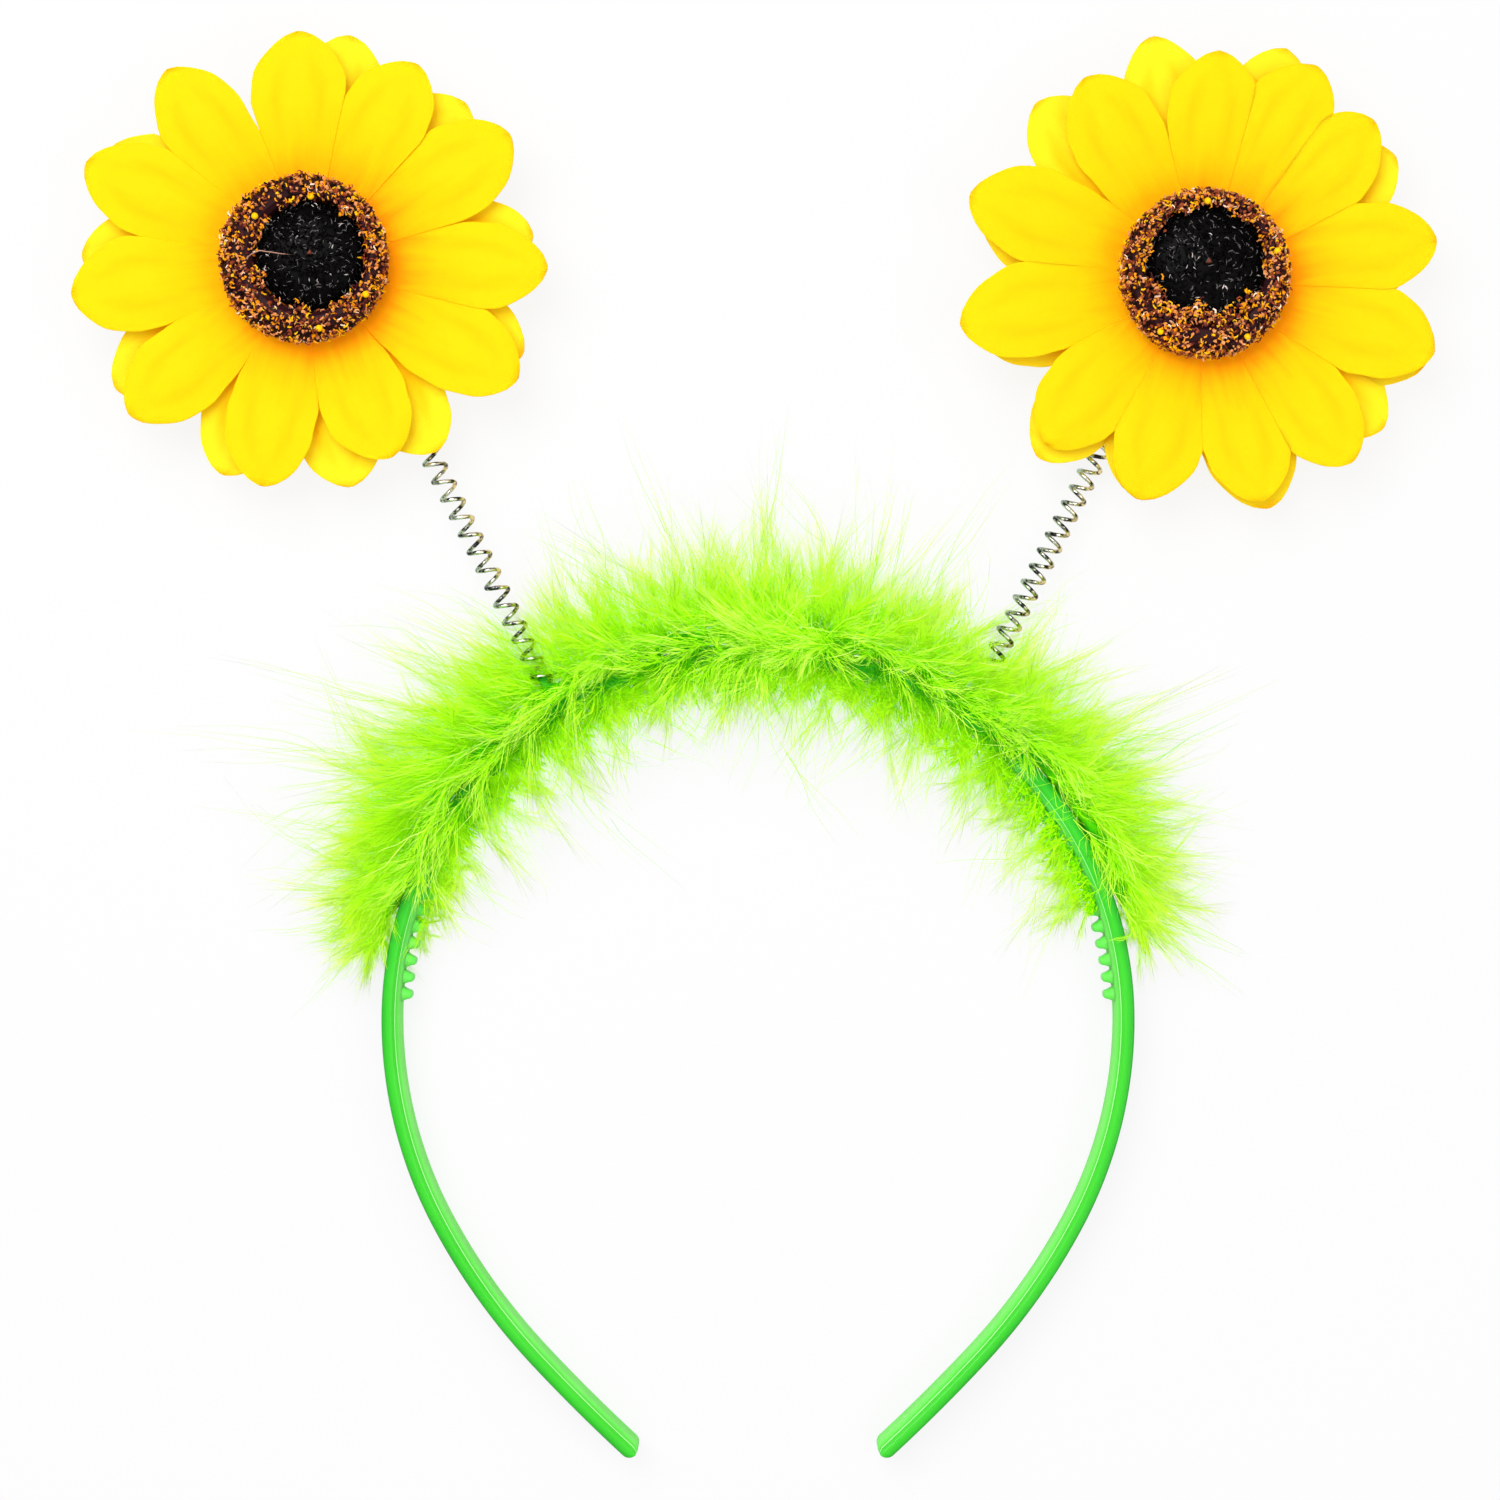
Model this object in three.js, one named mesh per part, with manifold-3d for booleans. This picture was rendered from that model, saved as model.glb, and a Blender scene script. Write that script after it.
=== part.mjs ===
// Sunflower headband: a moulded alice band with comb teeth, a feather trim on the outer face of its
// crown, and two fabric sunflowers on coil springs. It lies on its back, with its front up.
// Millimetres. +Z is up, away from the surface that it lies on, +Y runs from the tips to the top of
// the crown, and +X is to the right, seen from the front. The origin is the middle of the crown's
// arc, on that surface.
import * as THREE from "three";
import { mergeVertices } from "three/addons/utils/BufferGeometryUtils.js";
import Module from "manifold-3d";

const wasm = await Module();
wasm.setup();

const { degToRad, lerp } = THREE.MathUtils;
const UP = new THREE.Vector3(0, 1, 0);

// Clearance between pieces that touch on the real thing
const GAP = 0.3;

// Moulded band: the middle of its wall, its section, and the length of one facet along it
const BAND = { crownRadius: 63.8, thickness: 3.2, width: 8, chamfer: 0.8, tipChamferShare: 0.6, facet: 7 };

// Half of the band's middle line from the top of the crown to a tip, in arcs that open out
const ARCS = [
  { radius: BAND.crownRadius, sweep: 90 },
  { radius: 75, sweep: 28 },
  { radius: 110, sweep: 15 },
  { radius: 300, sweep: 4.6 },
];

// Stops on the round end of each tip, in degrees from its very end
const TIP_STOPS = [20, 45, 70];

// Comb teeth inside the crown, with the span on each side of the top in degrees
const TEETH = { count: 63, span: 86, length: 1.8, root: 1.7, tip: 1.1, width: 4.5, sunk: 0.6 };

// Coil springs: middle diameter of the coil, wire, and the post that enters each end
const SPRING = { coil: 3.4, wire: 0.8, height: BAND.width / 2, steps: 7, sides: 5, clear: 1 };
const POST = { radius: 0.85, length: 7, sides: 6 };

// Flowers: where each one lies, how its spring runs, and its dark middle
const FLOWERS = [
  {
    side: "left",
    x: -78.3,
    y: 131.4,
    springTurn: -32.8,
    springLean: -26.7,
    coils: 22.5,
    middle: { radius: 9.4, x: 1.4, y: 0.5 },
  },
  {
    side: "right",
    x: 77,
    y: 128.7,
    springTurn: 34.2,
    springLean: 27,
    coils: 24,
    middle: { radius: 10.1, x: 0, y: 2.2 },
  },
];

// Petals, by their direction from +X in degrees and the reach of their tips from the middle
const PETALS = {
  left: {
    front: [
      { turn: -2, reach: 42 },
      { turn: 30, reach: 41.6 },
      { turn: 61, reach: 39 },
      { turn: 92, reach: 39.4 },
      { turn: 126, reach: 40.4 },
      { turn: 156, reach: 41.1 },
      { turn: 188, reach: 40.6 },
      { turn: 222, reach: 40.3 },
      { turn: 258, reach: 39.7 },
      { turn: 293, reach: 37.3 },
      { turn: 331, reach: 42.2 },
    ],
    back: [
      { turn: 7, reach: 39.6 },
      { turn: 46, reach: 39 },
      { turn: 78, reach: 39.9 },
      { turn: 122, reach: 39 },
      { turn: 151, reach: 39.5 },
      { turn: 177, reach: 38.9 },
      { turn: 214, reach: 39.7 },
      { turn: 249, reach: 39.6 },
      { turn: 281, reach: 39.7 },
      { turn: 304, reach: 39.9 },
      { turn: 337, reach: 40.8 },
    ],
  },
  right: {
    front: [
      { turn: 10, reach: 40.6 },
      { turn: 41, reach: 39.7 },
      { turn: 63, reach: 41 },
      { turn: 87, reach: 38.9 },
      { turn: 122, reach: 39.9 },
      { turn: 160, reach: 42.8 },
      { turn: 191, reach: 43 },
      { turn: 225, reach: 40 },
      { turn: 255, reach: 40.2 },
      { turn: 284, reach: 40.2 },
      { turn: 309, reach: 41.1 },
      { turn: 342, reach: 41.8 },
    ],
    back: [
      { turn: 8, reach: 38.5 },
      { turn: 33, reach: 39.4 },
      { turn: 69, reach: 42.3 },
      { turn: 101, reach: 42.7 },
      { turn: 134, reach: 41.8 },
      { turn: 165, reach: 40 },
      { turn: 196, reach: 39.5 },
      { turn: 227, reach: 42.2 },
      { turn: 252, reach: 39.6 },
      { turn: 285, reach: 41.6 },
      { turn: 319, reach: 40.8 },
      { turn: 340, reach: 41.4 },
    ],
  },
};

// Sections of a petal from its root under the middle to its tip
const PETAL_SECTIONS = [
  { along: 0, half: 4 },
  { along: 0.3, half: 6.3 },
  { along: 0.62, half: 8.2 },
  { along: 0.78, half: 7.7 },
  { along: 0.91, half: 5.2 },
  { along: 1, half: 1.2 },
];
const PETAL = { wall: 1, root: 11, flatTo: 15, fold: 0.8, arch: 2 };

// Cloth discs that the petals are cut from, and how far each layer's petals rise
const HUB = { radius: 14, wall: 1.2, sides: 24 };
const FLOWER_BACK = { radius: 9, height: 6.6, sides: 20 };
const LAYERS = [
  { name: "back", seat: FLOWER_BACK.height + GAP, rise: 1.4 },
  { name: "front", seat: FLOWER_BACK.height + HUB.wall + 2 * GAP, rise: 3 },
];
const DISC_SEAT = LAYERS[1].seat + HUB.wall + GAP;

// Seed disc: the floret ring's half section, by how far out of its wall and how high, and the dark dome
const FLORET = { outer: 14.8, sides: 20 };
const FLORET_SECTION = [
  { across: 0, up: 0 },
  { across: 0.2, up: 0 },
  { across: 1, up: 1.8 },
  { across: 0.9, up: 4.9 },
  { across: 0.45, up: 6.9 },
  { across: 0.1, up: 6 },
  { across: 0, up: 4 },
];
const DOME_SECTION = [
  { across: 1, up: 0 },
  { across: 1, up: 3.8 },
  { across: 0.86, up: 5.6 },
  { across: 0.5, up: 6.6 },
];
const DOME_TOP = 7;

// Feather strip: its section round the band, from the middle of the wall outwards and upwards, and
// where the locks that grow there point, by a share of the feathers' reach and a height. A share
// below zero points inwards.
const STRIP_SECTION = [
  { out: 2.4, up: 8.8 },
  { out: 2.4, up: 0 },
  { out: 11, up: 0 },
  { out: 13.5, up: 2.5, lock: { share: 0.95, up: 1.5 } },
  { out: 14.5, up: 6.5, lock: { share: 1.15, up: 7 } },
  { out: 13.5, up: 10.5, lock: { share: 1.05, up: 13 } },
  { out: 10.5, up: 13.5, lock: { share: 0.8, up: 18.5 } },
  { out: 5.5, up: 15.5, lock: { share: 0.35, up: 22 } },
  { out: 0.5, up: 15.5, lock: { share: -0.1, up: 21 } },
  { out: -4, up: 13.5, lock: { share: -0.65, up: 17 } },
  { out: -6.5, up: 11, lock: { share: -1.05, up: 10 } },
  { out: -5.5, up: 9, lock: { share: -1, up: 5 } },
];
const STRIP = { from: -79, to: 77.5, spans: 44, middle: { out: 5, up: 10.5 }, endShare: 0.3, endSpan: 9 };
const LOCK = { vary: 0.18, beat: 2.4, fan: 5 };

// How far the feathers reach round the crown, outwards and inwards from the middle of the wall
const FEATHER_REACH = [
  { turn: -84, out: 9, in: 4 },
  { turn: -72, out: 21, in: 8 },
  { turn: -55, out: 26, in: 11 },
  { turn: -35, out: 22.5, in: 14 },
  { turn: 0, out: 22.5, in: 13.5 },
  { turn: 30, out: 20.5, in: 14.5 },
  { turn: 55, out: 22.5, in: 11.5 },
  { turn: 70, out: 20, in: 8.5 },
  { turn: 84, out: 8, in: 4 },
];

// Room for the springs in the strip, and the surface that flattens it
const CHANNEL = { clear: 0.5, length: 45, sides: 10 };
const FLOOR = { size: 300, depth: 20 };

// Colours and finishes
const FINISH = {
  plastic: { color: 0x3fdc3a, roughness: 0.2, metalness: 0 },
  feather: { color: 0xa8ff2a, roughness: 0.9, metalness: 0 },
  steel: { color: 0xb9b8b0, roughness: 0.25, metalness: 1 },
  felt: { color: 0xf2c40f, roughness: 0.95, metalness: 0 },
  frontCloth: { color: 0xffe800, roughness: 0.8, metalness: 0 },
  backCloth: { color: 0xffdd0a, roughness: 0.8, metalness: 0 },
  floret: { color: 0x8a4a2a, roughness: 0.9, metalness: 0 },
  bristle: { color: 0x0a0808, roughness: 0.9, metalness: 0 },
};

// Six times the volume that a closed mesh's faces enclose, negative where they point in
function signedVolume(positions, triangles) {
  const corners = [new THREE.Vector3(), new THREE.Vector3(), new THREE.Vector3()];
  let sum = 0;
  for (let i = 0; i < triangles.length; i += 3) {
    corners.forEach((corner, k) => corner.fromArray(positions, 3 * triangles[i + k]));
    sum += corners[0].dot(corners[1].cross(corners[2]));
  }
  return sum;
}

// The closed solid of a geometry, with its faces pointing out
function solid(geometry) {
  geometry.deleteAttribute("normal");
  geometry.deleteAttribute("uv");
  const merged = mergeVertices(geometry, 1e-4);
  const vertProperties = Float32Array.from(merged.attributes.position.array);
  const triVerts = Uint32Array.from(merged.index.array);
  if (signedVolume(vertProperties, triVerts) < 0) triVerts.reverse();
  return new wasm.Manifold(new wasm.Mesh({ numProp: 3, vertProperties, triVerts }));
}

// A named mesh of a solid
function piece(name, body, finish) {
  const { vertProperties, triVerts } = body.getMesh();
  const geometry = new THREE.BufferGeometry();
  geometry.setAttribute("position", new THREE.Float32BufferAttribute(vertProperties, 3));
  geometry.setIndex(Array.from(triVerts));
  geometry.computeVertexNormals();
  const mesh = new THREE.Mesh(geometry, new THREE.MeshStandardMaterial(finish));
  mesh.name = name;
  return mesh;
}

// A closed skin over rows of sections, with their points from place(row, point) and their middles
function skin(points, spans, place, middle) {
  const geometry = new THREE.CylinderGeometry(1, 1, 1, points, spans);
  const { position } = geometry.attributes;
  for (let i = 0; i < position.count; i += 1) {
    const row = Math.round((0.5 - position.getY(i)) * spans);
    const turn = Math.atan2(position.getX(i), position.getZ(i)) / (2 * Math.PI);
    const onRim = Math.hypot(position.getX(i), position.getZ(i)) > 0.5;
    const point = (Math.round(turn * points) + points) % points;
    const target = onRim ? place(row, point) : middle(row);
    position.setXYZ(i, target.x, target.y, target.z);
  }
  return solid(geometry);
}

// A round rod from one point towards another
function rod(start, direction, length, radius, sides) {
  const geometry = new THREE.CylinderGeometry(radius, radius, length, sides);
  geometry.translate(0, length / 2, 0);
  geometry.applyQuaternion(new THREE.Quaternion().setFromUnitVectors(UP, direction));
  geometry.translate(start.x, start.y, start.z);
  return solid(geometry);
}

// The middle of the band's wall at a length from the top of the crown, and its turn from +Y there
function midline(length) {
  const side = length < 0 ? -1 : 1;
  const spot = { x: 0, y: BAND.crownRadius, turn: 0 };
  let rest = Math.abs(length);
  for (const { radius, sweep } of ARCS) {
    const end = spot.turn + Math.min(rest / radius, degToRad(sweep));
    spot.x += radius * (Math.sin(end) - Math.sin(spot.turn));
    spot.y += radius * (Math.cos(end) - Math.cos(spot.turn));
    rest -= radius * (end - spot.turn);
    spot.turn = end;
  }
  return { x: side * spot.x, y: spot.y, turn: side * spot.turn };
}

// A point on the band, out from the middle of its wall and up from the surface
function onBand(length, out, up) {
  const { x, y, turn } = midline(length);
  return new THREE.Vector3(x + out * Math.sin(turn), y + out * Math.cos(turn), up);
}

// The same on the crown, at a turn from its top in degrees
function onCrown(turn, out, up) {
  return onBand(degToRad(turn) * BAND.crownRadius, out, up);
}

// Stations along the whole band, close together on its round tips, with the half thickness at each
function bandStations() {
  const half = BAND.thickness / 2;
  const end = ARCS.reduce((sum, { radius, sweep }) => sum + radius * degToRad(sweep), 0);
  const tip = TIP_STOPS.map((stop) => ({
    length: end - half * (1 - Math.cos(degToRad(stop))),
    half: half * Math.sin(degToRad(stop)),
  }));
  const straight = end - half;
  const spans = Math.round((2 * straight) / BAND.facet);
  const wall = Array.from({ length: spans + 1 }, (_, i) => ({
    length: lerp(-straight, straight, i / spans),
    half,
  }));
  const mirrored = tip.map((row) => ({ length: -row.length, half: row.half }));
  return [...mirrored, ...wall, ...tip.reverse()];
}

// The band's wall, a bar with its long edges broken
function bandWall() {
  const rows = bandStations();
  const { width, chamfer, tipChamferShare } = BAND;
  const corners = (half) => {
    const cut = Math.min(chamfer, half * tipChamferShare);
    return [
      [half, chamfer],
      [half, width - chamfer],
      [half - cut, width],
      [cut - half, width],
      [-half, width - chamfer],
      [-half, chamfer],
      [cut - half, 0],
      [half - cut, 0],
    ];
  };
  const place = (row, point) => onBand(rows[row].length, ...corners(rows[row].half)[point]);
  const middle = (row) => onBand(rows[row].length, 0, width / 2);
  return skin(corners(chamfer).length, rows.length - 1, place, middle);
}

// One comb tooth, a tapered peg that stands in from the wall
function tooth(turn) {
  const height = TEETH.length + TEETH.sunk;
  const geometry = new THREE.BoxGeometry(TEETH.root, height, TEETH.width);
  const { position } = geometry.attributes;
  for (let i = 0; i < position.count; i += 1) {
    if (position.getY(i) < 0) position.setX(i, position.getX(i) * (TEETH.tip / TEETH.root));
  }
  geometry.rotateZ(-degToRad(turn));
  const seat = onCrown(turn, TEETH.sunk - BAND.thickness / 2 - height / 2, BAND.width / 2);
  geometry.translate(seat.x, seat.y, seat.z);
  return solid(geometry);
}

// Each spring's line: where it leaves the band's outer face, its direction and its length
function springLine(flower) {
  const lean = degToRad(flower.springLean);
  const direction = new THREE.Vector3(Math.sin(lean), Math.cos(lean), 0);
  const foot = onCrown(flower.springTurn, BAND.thickness / 2, SPRING.height);
  const toFlower = new THREE.Vector3(flower.x, flower.y, SPRING.height).sub(foot);
  const reach = toFlower.dot(direction);
  const miss = Math.sqrt(toFlower.lengthSq() - reach * reach);
  const rim = Math.sqrt(FLOWER_BACK.radius ** 2 - miss ** 2);
  return { foot, direction, length: reach - rim };
}

// The moulded band with its teeth and the posts that enter the springs
function headband() {
  const teeth = Array.from({ length: TEETH.count }, (_, i) =>
    tooth(lerp(-TEETH.span, TEETH.span, i / (TEETH.count - 1))));
  const posts = FLOWERS.map((flower) => {
    const { foot, direction } = springLine(flower);
    const start = foot.clone().addScaledVector(direction, -BAND.thickness / 2);
    return rod(start, direction, POST.length, POST.radius, POST.sides);
  });
  return wasm.Manifold.union([bandWall(), ...teeth, ...posts]);
}

// A coil spring between the band and the flower's back
function spring(flower) {
  const { foot, direction, length } = springLine(flower);
  const across = new THREE.Vector3(direction.y, -direction.x, 0);
  const run = length - 2 * SPRING.clear;
  const spans = Math.round(flower.coils * SPRING.steps);
  const radius = SPRING.coil / 2;
  const middle = (row) => {
    const turn = 2 * Math.PI * flower.coils * (row / spans);
    return foot.clone()
      .addScaledVector(direction, SPRING.clear + run * (row / spans))
      .addScaledVector(across, radius * Math.cos(turn))
      .add(new THREE.Vector3(0, 0, radius * Math.sin(turn)));
  };
  const place = (row, point) => {
    const turn = 2 * Math.PI * flower.coils * (row / spans);
    const around = (2 * Math.PI * point) / SPRING.sides;
    const outward = (SPRING.wire / 2) * Math.cos(around);
    return middle(row)
      .addScaledVector(across, outward * Math.cos(turn))
      .add(new THREE.Vector3(0, 0, outward * Math.sin(turn)))
      .addScaledVector(direction, (SPRING.wire / 2) * Math.sin(around));
  };
  return skin(SPRING.sides, spans, place, middle);
}

// The plain back of a flower, with the post that enters its spring
function flowerBack(flower) {
  const { radius, height, sides } = FLOWER_BACK;
  const pad = new THREE.CylinderGeometry(radius, radius, height, sides);
  pad.rotateX(Math.PI / 2);
  pad.translate(flower.x, flower.y, height / 2);
  const { foot, direction, length } = springLine(flower);
  const start = foot.clone().addScaledVector(direction, length + BAND.thickness / 2);
  const post = rod(start, direction.clone().negate(), POST.length, POST.radius, POST.sides);
  return solid(pad).add(post);
}

// One petal of a layer, kept inside the slits that part it from its neighbours
function petal(row, slits, layer) {
  const spans = PETAL_SECTIONS.length - 1;
  const geometry = new THREE.BoxGeometry(1, 1, 1, spans, 2, 1);
  const { position } = geometry.attributes;
  const turn = degToRad(row.turn);
  for (let i = 0; i < position.count; i += 1) {
    const { along, half } = PETAL_SECTIONS[Math.round((position.getX(i) + 0.5) * spans)];
    const reach = lerp(PETAL.root, row.reach, along);
    const side = Math.sign(Math.round(position.getY(i) * 2));
    const slit = side < 0 ? slits.before : slits.after;
    const across = side * Math.min(half, reach * Math.sin(degToRad(slit)) - GAP);
    const free = Math.max(0, (reach - PETAL.flatTo) / (row.reach - PETAL.flatTo));
    const ridge = PETAL.fold * Math.sin(Math.PI * free) * (1 - Math.abs(side));
    const height = layer.seat + HUB.wall / 2 + layer.rise * Math.sin(PETAL.arch * free) + ridge;
    position.setXYZ(
      i,
      reach * Math.cos(turn) - across * Math.sin(turn),
      reach * Math.sin(turn) + across * Math.cos(turn),
      height + PETAL.wall * position.getZ(i),
    );
  }
  return geometry;
}

// A layer of petals on the disc of cloth that they are cut from
function petalLayer(flower, layer) {
  const rows = PETALS[flower.side][layer.name];
  const hub = new THREE.CylinderGeometry(HUB.radius, HUB.radius, HUB.wall, HUB.sides);
  hub.rotateX(Math.PI / 2);
  hub.translate(0, 0, layer.seat + HUB.wall / 2);
  const halfStep = (from, to) => ((((to - from) % 360) + 360) % 360) / 2;
  const petals = rows.map((row, i) => {
    const last = rows[(i + rows.length - 1) % rows.length];
    const next = rows[(i + 1) % rows.length];
    const slits = { before: halfStep(last.turn, row.turn), after: halfStep(row.turn, next.turn) };
    return petal(row, slits, layer);
  });
  const placed = [hub, ...petals].map((geometry) => solid(geometry.translate(flower.x, flower.y, 0)));
  return wasm.Manifold.union(placed);
}

// The floret ring, whose hole sits off its middle as the dark dome does
function floretRing(flower) {
  const { middle } = flower;
  const inner = middle.radius + GAP;
  const at = ({ across, up }) => new THREE.Vector2(lerp(inner, FLORET.outer, across), up);
  const profile = FLORET_SECTION.map(at);
  const geometry = new THREE.LatheGeometry([...profile, profile[0]], FLORET.sides);
  geometry.rotateX(Math.PI / 2);
  const { position } = geometry.attributes;
  for (let i = 0; i < position.count; i += 1) {
    const radius = Math.hypot(position.getX(i), position.getY(i));
    const share = (FLORET.outer - radius) / (FLORET.outer - inner);
    position.setX(i, position.getX(i) + share * middle.x);
    position.setY(i, position.getY(i) + share * middle.y);
  }
  geometry.translate(flower.x, flower.y, DISC_SEAT);
  return solid(geometry);
}

// The dark dome in the ring
function darkCentre(flower) {
  const { middle } = flower;
  const wall = DOME_SECTION.map(({ across, up }) => new THREE.Vector2(across * middle.radius, up));
  const profile = [new THREE.Vector2(0, 0), ...wall, new THREE.Vector2(0, DOME_TOP)];
  const geometry = new THREE.LatheGeometry(profile, FLORET.sides);
  geometry.rotateX(Math.PI / 2);
  geometry.translate(flower.x + middle.x, flower.y + middle.y, DISC_SEAT);
  return solid(geometry);
}

// The feathers' reach at a turn round the crown, between the table's rows
function featherReach(turn) {
  const next = FEATHER_REACH.findIndex((row) => row.turn >= turn);
  const high = FEATHER_REACH[Math.max(next, 1)];
  const low = FEATHER_REACH[Math.max(next, 1) - 1];
  const share = (turn - low.turn) / (high.turn - low.turn);
  return { out: lerp(low.out, high.out, share), in: lerp(low.in, high.in, share) };
}

// A point of the strip, which thins out at its ends: every other point of its section is a lock's tip
function stripPoint(row, point) {
  const { from, to, spans, endShare, endSpan } = STRIP;
  const turn = lerp(from, to, row / spans);
  const fullness = lerp(endShare, 1, Math.min(1, (turn - from) / endSpan, (to - turn) / endSpan));
  const corner = STRIP_SECTION[0];
  const { out, up, lock } = STRIP_SECTION[point];
  const grows = lock && (row + point) % 2 === 0 && row > 0 && row < spans;
  if (!grows) return onCrown(turn, lerp(corner.out, out, fullness), lerp(corner.up, up, fullness));
  const reach = featherReach(turn);
  const uneven = 1 + LOCK.vary * Math.sin(LOCK.beat * row * point);
  const tipOut = lock.share * uneven * (lock.share < 0 ? reach.in : reach.out);
  const tipTurn = turn + LOCK.fan * ((2 * row) / spans - 1);
  return onCrown(tipTurn, tipOut, lerp(corner.up, lock.up, fullness));
}

// The strip's backing and its locks, a saddle over the band's outer and front faces
function plumage() {
  const { from, to, spans, middle, endShare } = STRIP;
  const corner = STRIP_SECTION[0];
  const heart = (row) => onCrown(
    lerp(from, to, row / spans),
    lerp(corner.out, middle.out, endShare),
    lerp(corner.up, middle.up, endShare),
  );
  return skin(STRIP_SECTION.length, spans, stripPoint, heart);
}

// The feather strip, clear of the band, its teeth and the springs, and flat where it rests
function featherTrim() {
  const { from, to, spans } = STRIP;
  const outer = BAND.thickness / 2 + GAP;
  const inner = -BAND.thickness / 2 - TEETH.length - GAP;
  const top = BAND.width + GAP;
  const corners = [[outer, -GAP], [outer, top], [inner, top], [inner, -GAP]];
  const turnAt = (row) => lerp(from - 2 * LOCK.fan, to + 2 * LOCK.fan, row / spans);
  const bandRoom = skin(
    corners.length,
    spans,
    (row, point) => onCrown(turnAt(row), ...corners[point]),
    (row) => onCrown(turnAt(row), 0, top / 2),
  );
  const springRooms = FLOWERS.map((flower) => {
    const { foot, direction } = springLine(flower);
    const radius = (SPRING.coil + SPRING.wire) / 2 + CHANNEL.clear;
    return rod(foot, direction, CHANNEL.length, radius, CHANNEL.sides);
  });
  const floor = new THREE.BoxGeometry(FLOOR.size, FLOOR.size, FLOOR.depth);
  floor.translate(0, 0, -FLOOR.depth / 2);
  const cut = plumage().subtract(wasm.Manifold.union([bandRoom, ...springRooms, solid(floor)]));
  return cut.decompose().sort((a, b) => b.volume() - a.volume())[0];
}

// One flower with its spring, as a group of named meshes
function flowerGroup(flower) {
  const { side } = flower;
  const group = new THREE.Group();
  group.add(
    piece(`spring_${side}`, spring(flower), FINISH.steel),
    piece(`flower_back_${side}`, flowerBack(flower), FINISH.felt),
    piece(`petals_back_${side}`, petalLayer(flower, LAYERS[0]), FINISH.backCloth),
    piece(`petals_front_${side}`, petalLayer(flower, LAYERS[1]), FINISH.frontCloth),
    piece(`floret_ring_${side}`, floretRing(flower), FINISH.floret),
    piece(`dark_centre_${side}`, darkCentre(flower), FINISH.bristle),
  );
  return group;
}

const sunflowerHeadband = new THREE.Group();
sunflowerHeadband.add(
  piece("headband", headband(), FINISH.plastic),
  piece("feather_trim", featherTrim(), FINISH.feather),
  ...FLOWERS.map(flowerGroup),
);

export default sunflowerHeadband;
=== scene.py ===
"""Dresses the sunflower headband for its studio picture.

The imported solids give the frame: metres, with +Z up from the surface that the headband lies on, +Y from
its tips to the top of its crown, and the middle of the crown's arc at the origin. Each sub-assembly is a
class that builds its meshes in millimetres in that frame and dresses them in the real material's finish.
"""
import logging
import math
from collections.abc import Callable
from dataclasses import dataclass
from enum import Enum

import bpy
import numpy as np
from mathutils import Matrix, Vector


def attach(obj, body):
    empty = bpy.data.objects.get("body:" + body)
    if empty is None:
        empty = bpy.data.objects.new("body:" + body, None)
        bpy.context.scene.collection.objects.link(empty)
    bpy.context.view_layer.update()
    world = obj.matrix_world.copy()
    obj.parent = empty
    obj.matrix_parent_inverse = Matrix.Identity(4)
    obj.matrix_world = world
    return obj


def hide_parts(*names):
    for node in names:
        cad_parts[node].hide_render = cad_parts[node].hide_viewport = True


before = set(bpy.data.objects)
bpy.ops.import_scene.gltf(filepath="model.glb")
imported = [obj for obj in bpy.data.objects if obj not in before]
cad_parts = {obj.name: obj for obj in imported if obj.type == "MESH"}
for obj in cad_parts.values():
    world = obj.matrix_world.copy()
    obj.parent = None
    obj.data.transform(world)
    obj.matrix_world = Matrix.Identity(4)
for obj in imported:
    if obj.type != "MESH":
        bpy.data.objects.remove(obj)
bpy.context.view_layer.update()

Array = np.ndarray
Colour = tuple[float, float, float, float]
Pair = tuple[float, float]
# Places on a ramp, and their colours as sRGB hex values
Stops = tuple[tuple[float, str], ...]

log = logging.getLogger("sunflower_headband")

MM = 0.001
BODY = "root"
FULL_TURN = 2 * math.pi

# A wave texture's bands repeat this far apart at scale 1
WAVE_PERIOD = FULL_TURN / 20


class Slot(Enum):
    """Material slots of the record that pieces take their finish from."""

    PLASTIC = "moulded_plastic"
    FEATHER = "feather"
    STEEL = "spring_steel"
    FELT = "felt"
    BACK_CLOTH = "back_petal_cloth"
    FRONT_CLOTH = "front_petal_cloth"
    CRUMB = "floret_crumb"
    BRISTLE = "dark_bristle"


class Layer(Enum):
    """The two layers of petals of a flower."""

    BACK = "back"
    FRONT = "front"


def linear(code: str) -> Colour:
    """Turn an sRGB hex value into linear colour.

    Args:
        code: The value, such as "#A8FF2A".

    Returns:
        Red, green, blue and an alpha of 1.
    """
    shares = [int(code[i:i + 2], 16) / 255 for i in (1, 3, 5)]
    red, green, blue = (s / 12.92 if s <= 0.04045 else ((s + 0.055) / 1.055) ** 2.4 for s in shares)
    return red, green, blue, 1.0


def add_node(
    tree: bpy.types.NodeTree,
    kind: str,
    settings: dict[str, object] | None = None,
    inputs: dict[str, object] | None = None,
) -> bpy.types.Node:
    """Add a node with its settings and links.

    Args:
        tree: The tree that it goes into.
        kind: Blender's name for the kind of node.
        settings: Its own settings by name, with "stops" for a ramp's places and hex colours.
        inputs: What each socket holds by name, a value or the socket that it is linked to.

    Returns:
        The new node.
    """
    node = tree.nodes.new(kind)
    for name, value in (settings or {}).items():
        if name == "stops":
            elements = node.color_ramp.elements
            while len(elements) < len(value):
                elements.new(1.0)
            for element, (place, code) in zip(elements, value):
                element.position = place
                element.color = linear(code)
        elif name == "interpolation":
            node.color_ramp.interpolation = value
        else:
            setattr(node, name, value)
    for name, value in (inputs or {}).items():
        socket = node.inputs[name]
        if isinstance(value, bpy.types.NodeSocket):
            tree.links.new(value, socket)
        else:
            socket.default_value = value
    return node


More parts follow.
